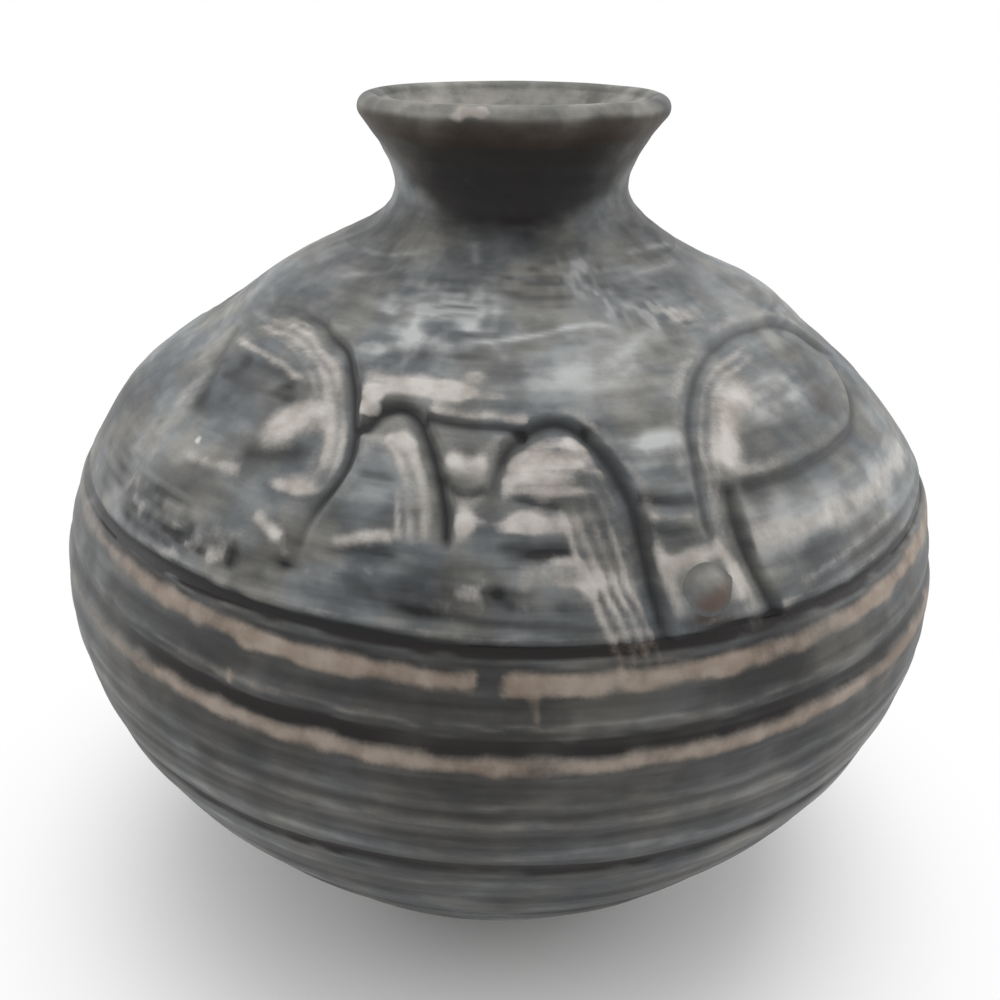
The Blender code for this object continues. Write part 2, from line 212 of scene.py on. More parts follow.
@dataclass
class WallCurve:
    """The outer curve of the pot, in radius and height, from the bowl's foot to the lip."""

    bowl_foot_radius: float = 19.6 * MM
    foot_height: float = 2.6 * MM
    belly_radius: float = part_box("lower_bowl")[1][0]
    belly_height: float = 31.5 * MM
    crown_inset: float = 4.6 * MM
    crown_rise: float = 13.1 * MM
    shoulder_radius: float = 16.8 * MM
    shoulder_drop: float = 13.0 * MM
    neck_radius: float = 9.6 * MM
    neck_drop: float = 7.0 * MM
    lip_radius: float = 12.5 * MM
    lip_bead: float = 1.0 * MM
    total_height: float = 70.0 * MM
    bowl_slope: float = math.radians(40)
    bowl_foot_pull: float = 11.5 * MM
    bowl_belly_pull: float = 12.0 * MM
    crown_slope: float = math.radians(124)
    crown_belly_pull: float = 4.0 * MM
    crown_lower_pull: float = 4.5 * MM
    crown_upper_pull: float = 6.0 * MM
    shoulder_slope: float = math.radians(153)
    shoulder_pull: float = 6.0 * MM
    neck_root_pull: float = 4.0 * MM
    neck_lower_pull: float = 2.0 * MM
    neck_upper_pull: float = 2.0 * MM
    flare_slope: float = math.radians(53)
    flare_pull: float = 1.6 * MM
    wall: float = 2.8 * MM
    curve_steps: int = 160
    points: Array = field(init=False)
    lengths: Array = field(init=False)
    normals: Array = field(init=False)

    def __post_init__(self) -> None:
        """Joins the stretches of the wall into one smooth curve."""
        top = self.total_height
        foot = Station(self.bowl_foot_radius, self.foot_height, self.bowl_slope)
        belly = Station(self.belly_radius, self.belly_height, UPRIGHT)
        crown_radius = self.belly_radius - self.crown_inset
        crown = Station(crown_radius, self.belly_height + self.crown_rise, self.crown_slope)
        shoulder = Station(self.shoulder_radius, top - self.shoulder_drop, self.shoulder_slope)
        neck = Station(self.neck_radius, top - self.neck_drop, UPRIGHT)
        lip = Station(*self.lip_point(self.flare_slope - UPRIGHT), self.flare_slope)
        curves = (
            self.stretch(foot, self.bowl_foot_pull, self.bowl_belly_pull, belly),
            self.stretch(belly, self.crown_belly_pull, self.crown_lower_pull, crown),
            self.stretch(crown, self.crown_upper_pull, self.shoulder_pull, shoulder),
            self.stretch(shoulder, self.neck_root_pull, self.neck_lower_pull, neck),
            self.stretch(neck, self.neck_upper_pull, self.flare_pull, lip),
        )
        self.points = np.vstack([curves[0], *(curve[1:] for curve in curves[1:])])
        self.lengths = run_lengths(self.points)
        self.normals = run_normals(self.points)

    def stretch(self, start: Station, leave: float, arrive: float, end: Station) -> Array:
        """A cubic curve between two stations of the wall.

        Args:
            start: Where it starts.
            leave: How far it follows the slope there.
            arrive: How far it follows the slope at its end.
            end: Where it ends.

        Returns:
            Its points, one row of radius and height each.
        """
        t = np.linspace(0, 1, self.curve_steps + 1)[:, None]
        first = (1 - t) ** 3 * start.along() + 3 * t * (1 - t) ** 2 * start.along(leave)
        return first + 3 * t**2 * (1 - t) * end.along(-arrive) + t**3 * end.along()

    def lip_point(self, angle: float) -> Spot:
        """A point on the round bead of the lip, at this angle up from the outside."""
        bead = Station(self.lip_radius - self.lip_bead, self.total_height - self.lip_bead, angle)
        return tuple(bead.along(self.lip_bead))

    def length_at(self, height: Array | float) -> Array:
        """Lengths along the curve at which it reaches these heights."""
        return np.interp(height, self.points[:, 1], self.lengths)

    def at(self, length: Array | float, depth: float = 0.0) -> Array:
        """Points of the wall.

        Args:
            length: Lengths along the curve.
            depth: How deep in the clay the points lie.

        Returns:
            One row of radius and height for each length.
        """
        spots = np.atleast_1d(length)
        point, normal = (
            np.column_stack([np.interp(spots, self.lengths, run[:, axis]) for axis in (0, 1)])
            for run in (self.points, self.normals)
        )
        return point - depth * normal / np.linalg.norm(normal, axis=1)[:, None]

    def line(self, points: Points) -> Array:
        """Draws a smooth line on the plain pot.

        Args:
            points: Turns and heights that it runs through, in degrees and millimetres.

        Returns:
            Its places, in millimetres.
        """
        knots = np.array([points[0], *points, points[-1]], float)
        run = []
        for before, start, end, after in zip(knots, knots[1:], knots[2:], knots[3:]):
            bend = 2 * before - 5 * start + 4 * end - after
            twist = 3 * start - before - 3 * end + after
            for t in np.arange(LINE_STEPS) / LINE_STEPS:
                run.append(start + 0.5 * (t * (end - before) + t**2 * bend + t**3 * twist))
        turns, heights = np.array([*run, knots[-1]]).T
        spots = self.at(self.length_at(heights * MM)) / MM
        return swing(spots[:, 0], np.radians(turns), spots[:, 1])


@dataclass(frozen=True)
class Run:
    """The points of a surface near a line: how far across it they lie, and their share of its way.

    Across is positive on the left of the line's travel, seen from outside.
    """

    near: Array
    turn: Array
    length: Array
    across: Array
    share: Array

    def faded(self, rise: float, taper: float) -> Array:
        """A share of 1 along the line, eased to 0 over a part of its way at its start and end."""
        return smooth((self.share + LINE_END) / rise) * smooth((1 + LINE_END - self.share) / taper)


@dataclass
class Skin:
    """Points on the outside of a section, in millimetres, and what the marks do to them.

    The carved band repeats round the pot, so their places and normals are kept as at the front.
    """

    wall: WallCurve
    turn: Array
    length: Array
    radius: Array
    height: Array
    normal: Array
    depth: Array = field(init=False)
    traces: dict[Trace, Array] = field(init=False)
    place: Array = field(init=False)
    facing: Array = field(init=False)

    def __post_init__(self) -> None:
        """Starts with a plain surface."""
        self.depth = np.zeros_like(self.turn)
        self.traces = {trace: np.zeros_like(self.turn) for trace in Trace}
        folded = np.radians(np.mod(self.turn - FOLD_START, BAND_PERIOD) + FOLD_START)
        self.place = swing(self.radius, folded, self.height)
        self.facing = swing(self.normal[:, 0], folded, self.normal[:, 1])

    def length_at(self, height: Array | float) -> Array:
        """Lengths along the wall curve at these heights."""
        return self.wall.length_at(height * MM) / MM

    def add(self, trace: Trace, amount: Array, where: Array | slice = slice(None)) -> None:
        """Adds to one trace, at all the points or at those named."""
        self.traces[trace][where] += amount

    def follow(self, points: Points, reach: float) -> Run:
        """Finds the points near a smooth line.

        Args:
            points: Turns and heights that the line runs through.
            reach: How far from it points are looked for.

        Returns:
            The points, measured from the line.
        """
        line = self.wall.line(points)
        inside = (self.place > line.min(axis=0) - reach) & (self.place < line.max(axis=0) + reach)
        near = np.flatnonzero(inside.all(axis=1))
        spots = self.place[near]
        nearest = np.full(len(near), np.inf)
        across = np.zeros(len(near))
        share = np.zeros(len(near))
        for index, (start, end) in enumerate(zip(line, line[1:])):
            step = end - start
            t = np.clip((spots - start) @ step / (step @ step), 0, 1)
            gap = spots - start - t[:, None] * step
            distance = np.linalg.norm(gap, axis=1)
            closer = distance < nearest
            left = np.einsum("ij,ij->i", np.cross(self.facing[near], step), gap)
            nearest = np.where(closer, distance, nearest)
            across = np.where(closer, np.copysign(distance, left), across)
            share = np.where(closer, (index + t) / (len(line) - 1), share)
        return Run(near, self.turn[near], self.length[near], across, share)


@dataclass(frozen=True)
class RingTilt:
    """How the upper rings ran askew on the wheel: bowed up at both sides, and leaning."""

    start: float = 23.0
    reach: float = 8.0
    top_start: float = 38.6
    top_reach: float = 1.6
    levelled: float = 0.4
    bow: float = 1.3
    lean: float = 0.35
    top_lean: float = 0.5

    def at(self, turn: Array, height: float) -> Array:
        """Finds how far a ring climbs from the front.

        Args:
            turn: Turns round the pot.
            height: The ring's height at the front.

        Returns:
            Its rise at each turn.
        """
        side = np.sin(np.radians(turn))
        grown = smooth((height - self.start) / self.reach)
        top = smooth((height - self.top_start) / self.top_reach)
        level = np.where(side < 0, self.levelled * np.tanh(side / self.levelled), side)
        side = side + top * (level - side)
        return grown * (self.bow * side**2 - (self.lean + self.top_lean * top) * side)


RING_TILT = RingTilt()


class Mark:
    """Something that the potter's hand or tool left on the pot, or light and shade painted onto it."""

    def press(self, skin: Skin) -> None:
        """Leaves the mark on a surface."""
        raise NotImplementedError


@dataclass(frozen=True)
class Ring(Mark):
    """A groove or a worn ridge that the turning tool left round the bowl, fainter on its left."""

    height: float
    width: float
    depth: float
    clay: float = 0.0
    pool: float = 0.0
    broken: float = 0.25
    soft: float = 0.5
    wobble: float = 0.16
    ragged: float = 0.22
    stain_soft: float = 0.7
    pool_broken: float = 0.3
    edge_share: float = 0.5
    cover_start: float = 0.48
    cover_reach: float = 0.42
    clay_covered: float = 0.62
    pool_covered: float = 0.35
    cover_haze: float = 0.22

    def press(self, skin: Skin) -> None:
        """Cuts the ring and leaves its traces.

        Args:
            skin: The surface that is marked.
        """
        middle = skin.length_at(self.height + RING_TILT.at(skin.turn, self.height))
        across = skin.length - middle - self.wobble * RING_WOBBLE.over(skin)
        edges = EDGE_WOBBLE.over(skin)
        skin.depth += self.depth * plateau(across, self.width / 2, self.soft)
        stain = plateau(across + self.ragged * edges, self.width / 2, self.stain_soft * self.soft)
        uneven = BLOTCHES.over(skin) + self.edge_share * edges
        covered = smooth((-np.sin(np.radians(skin.turn)) - self.cover_start) / self.cover_reach)
        clay = self.clay * (1 - self.clay_covered * covered)
        pool = self.pool * (1 - self.pool_covered * covered)
        skin.add(CLAY, clay * stain * (1 + self.broken * uneven))
        skin.add(FILM_AND_SHEEN, self.cover_haze * self.clay * covered * stain)
        skin.add(POOL_AND_SHADE, pool * stain * (1 + self.pool_broken * uneven))


@dataclass(frozen=True)
class Stroke(Mark):
    """A cut of the loop tool: a deep line with a steep left side, and a flatter ribbon on its right."""

    points: Points
    depth: float
    line: float
    ribbon_clay: float
    ribbon: float = 2.2
    pool: float = 1.0
    edge_clay: float = 0.7
    lip: float = 0.02
    rise: float = 0.08
    taper: float = 0.08
    margin: float = 2.0
    wobble: float = 0.12
    steep: float = 1.4
    ribbon_bend: float = 0.8
    lip_spot: Spot = (2.0, 1.5)
    dark_spot: Spot = (-0.1, 0.95)
    floor_spot: tuple[float, float, float] = (-0.58, 0.4, 0.35)
    worn: Spot = (0.75, 0.5)
    combed: Spot = (0.6, 0.55)
    streak_start: float = 40.0
    streak_drift: float = 0.1
    streak_turn: float = 0.2

    def press(self, skin: Skin) -> None:
        """Cuts the stroke and leaves its traces.

        Args:
            skin: The surface that is marked.
        """
        run = skin.follow(self.points, self.ribbon + self.margin)
        fade = run.faded(self.rise, self.taper)
        across = run.across + self.wobble * STROKE_WOBBLE.over(run)
        steep = smooth(1 - across / (self.steep * self.line))
        slope = np.clip(1 + across / self.ribbon, 0, 1) ** self.ribbon_bend
        lip_middle, lip_width = np.array(self.lip_spot) * self.line
        dark_middle, dark_width = np.array(self.dark_spot) * self.line
        floor_middle, floor_half, floor_soft = np.array(self.floor_spot) * self.ribbon
        lip = bell(across - lip_middle, lip_width)
        dark = bell(across - dark_middle, dark_width)
        floor = plateau(across - floor_middle, floor_half, floor_soft)
        skin.depth[run.near] += fade * (self.depth * np.where(across > 0, steep, slope) - self.lip * lip)
        streaks = across + self.streak_start + self.streak_drift * run.share
        middle, reach = self.combed
        combed = middle + reach * STREAKS.at(self.streak_turn * run.turn, streaks)
        worn = BLOTCHES.about(*self.worn, run)
        skin.add(POOL_AND_SHADE, fade * self.pool * dark, run.near)
        skin.add(CLAY, fade * (self.ribbon_clay * floor * combed - dark), run.near)
        skin.add(CLAY, fade * self.edge_clay * lip * worn, run.near)


@dataclass(frozen=True)
class Comb(Mark):
    """Several shallow lines scraped side by side, pale on their ridges."""

    points: Points
    width: float
    pitch: float
    depth: float
    clay: float
    taper: float = 0.15
    soft: float = 0.6
    drift: float = 1.3
    groove_share: float = 0.65
    worn: Spot = (0.8, 0.6)

    def press(self, skin: Skin) -> None:
        """Scrapes the lines and leaves their traces.

        Args:
            skin: The surface that is marked.
        """
        run = skin.follow(self.points, self.width)
        inside = run.faded(self.taper, self.taper) * plateau(run.across, self.width / 2, self.soft)
        drift = self.drift * STROKE_WOBBLE.over(run)
        wave = 0.5 + 0.5 * np.cos(math.tau * run.across / self.pitch + drift)
        skin.depth[run.near] += inside * self.depth * wave
        worn = BLOTCHES.about(*self.worn, run)
        skin.add(CLAY, inside * self.clay * worn * (1 - self.groove_share * wave), run.near)


@dataclass(frozen=True)
class Stripe(Mark):
    """A soft line drawn over the slip, such as a wipe, an edge or a dark seam, or a painted highlight or
    shadow.
    """

    trace: Trace
    width: float
    amount: float
    points: Points
    depth: float = 0.0
    taper: float = 0.25
    wobble: float = 0.25
    spread: float = 0.6
    worn: Spot = (0.92, 0.3)

    def press(self, skin: Skin) -> None:
        """Draws the line.

        Args:
            skin: The surface that is marked.
        """
        run = skin.follow(self.points, 2 * self.width)
        across = run.across + self.wobble * self.width * STROKE_WOBBLE.over(run)
        body = run.faded(self.taper, self.taper) * bell(across, self.spread * self.width)
        skin.depth[run.near] += self.depth * body
        skin.add(self.trace, self.amount * body * BLOTCHES.about(*self.worn, run), run.near)


@dataclass(frozen=True)
class Torn(Mark):
    """A place where the tool dragged and tore the clay: pale crumbs over dark pits."""

    turn: float
    height: float
    half_turn: float
    half_height: float
    depth: float = 0.14
    clay: float = 0.34
    pool: float = 0.26
    haze: float = 0.0
    edge: float = 1.5
    contrast: float = 1.8
    coarse: float = 0.65
    fine: float = 0.5
    coarse_scale: Spot = (2, 1.9)

    def press(self, skin: Skin) -> None:
        """Tears the surface.

        Args:
            skin: The surface that is marked.
        """
        over = off_turn(skin.turn, self.turn) / self.half_turn
        share = smooth(self.edge - np.hypot(over, (skin.height - self.height) / self.half_height))
        pits = self.coarse * BLOTCHES.over(skin, self.coarse_scale) + self.fine * TEARS.over(skin)
        high = share * smooth(-self.contrast * pits)
        skin.depth += self.depth * share * pits
        skin.add(POOL_AND_SHADE, self.pool * share * smooth(self.contrast * pits))
        skin.add(CLAY, self.clay * high)
        skin.add(FILM_AND_SHEEN, self.haze * high)


@dataclass(frozen=True)
class Patch(Mark):
    """A place on the band that was worn, wiped or left dark, or where light or shade is painted."""

    trace: Trace
    turn: float
    height: float
    half_turn: float
    half_height: float
    amount: float
    streaked: float = 0.4
    beyond: float = 0.0
    edge: float = 1.4
    rough_streaks: float = 0.22
    rough_edges: float = 0.25
    rough_blotches: float = 0.3
    blotch_scale: Spot = (1.7, 1.6)

    def press(self, skin: Skin) -> None:
        """Leaves the patch on the surface.

        Args:
            skin: The surface that is marked.
        """
        middle = skin.length_at(self.height) + self.beyond
        over = off_turn(skin.turn, self.turn) / self.half_turn
        streaks = STREAKS.over(skin)
        rough = self.rough_streaks * streaks + self.rough_edges * EDGE_WOBBLE.over(skin)
        rough += self.rough_blotches * BLOTCHES.over(skin, self.blotch_scale)
        share = smooth(self.edge - np.hypot(over, (skin.length - middle) / self.half_height) + rough)
        skin.add(self.trace, self.amount * share * (1 + self.streaked * streaks))


@dataclass(frozen=True)
class Swell(Mark):
    """A broad dent or swelling, where the hand left the wall out of round."""

    turn: float
    height: float
    half_turn: float
    half_length: float
    depth: float

    def press(self, skin: Skin) -> None:
        """Shapes the wall.

        Args:
            skin: The surface that is marked.
        """
        across = (np.mod(skin.turn - self.turn + 180, 360) - 180) / self.half_turn
        along = (skin.length - skin.length_at(self.height)) / self.half_length
        skin.depth += self.depth * np.exp(-(across**2) - along**2)


@dataclass(frozen=True)
class Throwing(Mark):
    """Fine lines of the wheel and soft dents of the hand, all over the outside."""

    lines: float = 0.04
    dents: float = 0.10
    tint: float = 0.10
    foot: float = 3.0
    foot_reach: float = 3.0
    mouth: float = 57.0
    mouth_reach: float = 4.0
    mouth_calm: float = 0.8
    band: float = 40.0
    band_reach: float = 2.0

    def press(self, skin: Skin) -> None:
        """Leaves the lines and dents.

        Args:
            skin: The surface that is marked.
        """
        held = smooth((skin.height - self.foot) / self.foot_reach)
        even = 1 - self.mouth_calm * smooth((skin.height - self.mouth) / self.mouth_reach)
        bowl = smooth((self.band - skin.height) / self.band_reach)
        skin.depth += held * self.lines * THROWING.over(skin)
        skin.depth += held * even * self.dents * DENTS.over(skin)
        skin.add(POOL_AND_SHADE, bowl * self.tint * FINE_LINES.over(skin))


@dataclass(frozen=True)
class Wash(Mark):
    """A belt of the pot between two heights that holds more of one trace."""

    trace: Trace
    low: float
    high: float
    soft: float
    amount: float
    streaked: float = 0.0
    front: float = 0.0
    sag: float = 0.0
    outside_only: bool = False
    follows_rings: bool = False
    uneven: float = 0.25
    inward_fade: float = 1.5
    most_streaked: float = 2.0
    front_half: float = 30.0
    aside_reach: float = 45.0

    def press(self, skin: Skin) -> None:
        """Leaves the belt's trace.

        Args:
            skin: The surface that is marked.
        """
        level = skin.height + self.uneven * self.soft * DENTS.over(skin)
        if self.follows_rings:
            level = level - RING_TILT.at(skin.turn, self.high)
        from_front = np.abs(off_turn(skin.turn, 0))
        low = self.low + self.sag * (from_front / self.aside_reach) ** 2
        inside = smooth((level - low) / self.soft + 0.5) * smooth((self.high - level) / self.soft + 0.5)
        # The front share eases the trace off away from the front and its repeat at the back; the washes use
        # it to paint light and shade for the camera's side
        inside *= 1 - self.front * smooth((from_front - self.front_half) / self.aside_reach)
        if self.outside_only:
            inside *= smooth(1 + self.inward_fade * np.minimum(skin.normal[:, 0], 0))
        streaks = 1 + self.streaked * STREAKS.over(skin)
        skin.add(self.trace, self.amount * inside * np.clip(streaks, 0, self.most_streaked))


# Rings of the bowl: height, width and depth, where a ridge has a negative depth
BOWL_RINGS = (
    Ring(41.05, 0.45, -0.05, clay=0.2, broken=0.9),
    Ring(40.25, 0.95, 0.22, pool=0.5),
    Ring(39.6, 0.35, -0.04, pool=-0.2, soft=0.4),
    Ring(39.25, 0.3, 0.06, pool=0.15),
    Ring(38.35, 1.25, -0.08, clay=0.95, broken=0.4, soft=1.5),
    Ring(36.7, 0.9, 0.06, pool=0.06),
    Ring(35.65, 0.4, -0.05, pool=-0.3, clay=0.26, broken=0.6),
    Ring(34.3, 1.2, 0.22, pool=0.38),
    Ring(33, 1.2, -0.08, clay=0.8, broken=0.35, soft=1.5),
    Ring(31.4, 0.8, 0.05, pool=0.1),
    Ring(29.95, 0.5, -0.04, pool=-0.22),
    Ring(29.2, 0.5, 0.05, pool=0.14),
    Ring(28.2, 0.75, -0.05, pool=-0.42, clay=0.15, broken=0.5, soft=0.7),
    Ring(26.8, 0.8, 0.08, pool=0.08),
    Ring(24.9, 1.1, -0.05, pool=-0.4, soft=0.8),
    Ring(23.2, 1, 0.22, pool=0.46),
    Ring(21.2, 1.3, -0.05, pool=-0.38, soft=0.8),
    Ring(18.4, 1, 0.1, pool=0.12),
    Ring(16.3, 1.2, -0.05, pool=-0.24, soft=0.8),
    Ring(14, 1, 0.12, pool=0.15),
    Ring(11.8, 1.2, -0.05, pool=-0.2, soft=0.8),
    Ring(9.5, 0.9, 0.12, pool=0.15),
    Ring(7.5, 1, -0.05, pool=-0.15, soft=0.8),
    Ring(5.5, 0.8, 0.12, pool=0.15),
)

# Lines of the carved band, through points given by turn and height
LEFT_ARCH = (
    (-68, 53.4), (-64, 54.3), (-58, 55), (-46, 55.2), (-35.3, 54.6), (-29.9, 54), (-25.4, 52.8),
    (-21.5, 50.9), (-20.2, 49.6), (-20.5, 48.3), (-21.7, 46.7), (-22.3, 44.9), (-22.6, 43.6),
)
LEFT_RIBBON = (
    (-59.3, 53.9), (-46.3, 54.2), (-34.9, 53.5), (-27.7, 52.2), (-23.7, 50.5), (-22.8, 49.1), (-23.2, 47.2),
)
SMALL_ARCH = (
    (-20.4, 50.4), (-19, 51.6), (-15.4, 52), (-11.8, 51.3), (-8.8, 49.6), (-6.8, 47.8), (-5.5, 45.3),
)
SMALL_RIBBON = ((-15.7, 50.9), (-12.6, 49.7), (-10.5, 48), (-8.8, 45.4))
JOINING_LINE = ((-11.7, 51.6), (-6.8, 51.4), (-0.5, 51.3), (3.5, 51.1))
LONG_ARCH = (
    (-1, 45.8), (-1.3, 48.2), (0.4, 50.1), (3.9, 51.3), (7.7, 51.6), (11.2, 51.1), (14, 49.8),
    (15.6, 48.1), (16.1, 46.6), (16.5, 44.5), (17, 42), (17.6, 40.1),
)
LONG_COMB = ((9, 48.2), (10.6, 45.8), (12.2, 43.1), (13.9, 40.4), (14.8, 38.4))
LOOP_TOP = (
    (24.9, 45.3), (24.5, 46.5), (25.2, 48.3), (26.3, 49.9), (28.5, 51.5), (32.7, 52.8), (39.2, 53.8),
    (48.1, 54.3), (61.2, 54.2), (70.4, 53.4), (76.6, 52), (79.3, 50.4),
)
LOOP_RIBBON = ((26.9, 46), (28.4, 49.5), (34, 52.1), (44, 53.2), (56, 53.4))
LOOP_BASE = (
    (29.8, 47.6), (37.4, 47.6), (46.6, 47.7), (55.2, 47.9), (61.1, 48.2), (70, 49.2), (76, 50.6),
)
LOOP_TAIL = ((29.8, 48), (28.8, 46.6), (28.6, 45.5), (28.9, 44.4), (30.2, 41.9), (31.2, 40.2))

# Strokes: line, depth, the line's width and the ribbon's clay. Combs: line, width, pitch, depth and clay
BAND_STROKES = (
    Stroke(LEFT_ARCH, 0.65, 0.45, 0.35, ribbon=3, edge_clay=0.3, rise=0.45, taper=0.3),
    Stroke(SMALL_ARCH, 0.7, 0.5, 0.3, edge_clay=0.45),
    Stroke(JOINING_LINE, 0.25, 0.36, 0.1, ribbon=0.8, pool=0.9),
    Stroke(LONG_ARCH, 0.62, 0.45, 0.3, pool=0.9, edge_clay=0.4, rise=0.2),
    Stroke(LOOP_TOP, 0.36, 0.46, 0.15, pool=0.7, edge_clay=0.4),
    Stroke(LOOP_BASE, 0.4, 0.46, 0, ribbon=2, pool=0.8, edge_clay=0.3),
    Stroke(LOOP_TAIL, 0.45, 0.44, 0.3, ribbon=2.1, pool=0.8, edge_clay=0.2),
    Comb(LEFT_RIBBON, 2.6, 0.95, 0.06, 0.45),
    Comb(SMALL_RIBBON, 2.2, 0.9, 0.06, 0.6),
    Comb(LONG_COMB, 3.3, 0.85, 0.1, 0.52),
    Comb(LOOP_RIBBON, 1.8, 0.9, 0.05, 0.38),
)

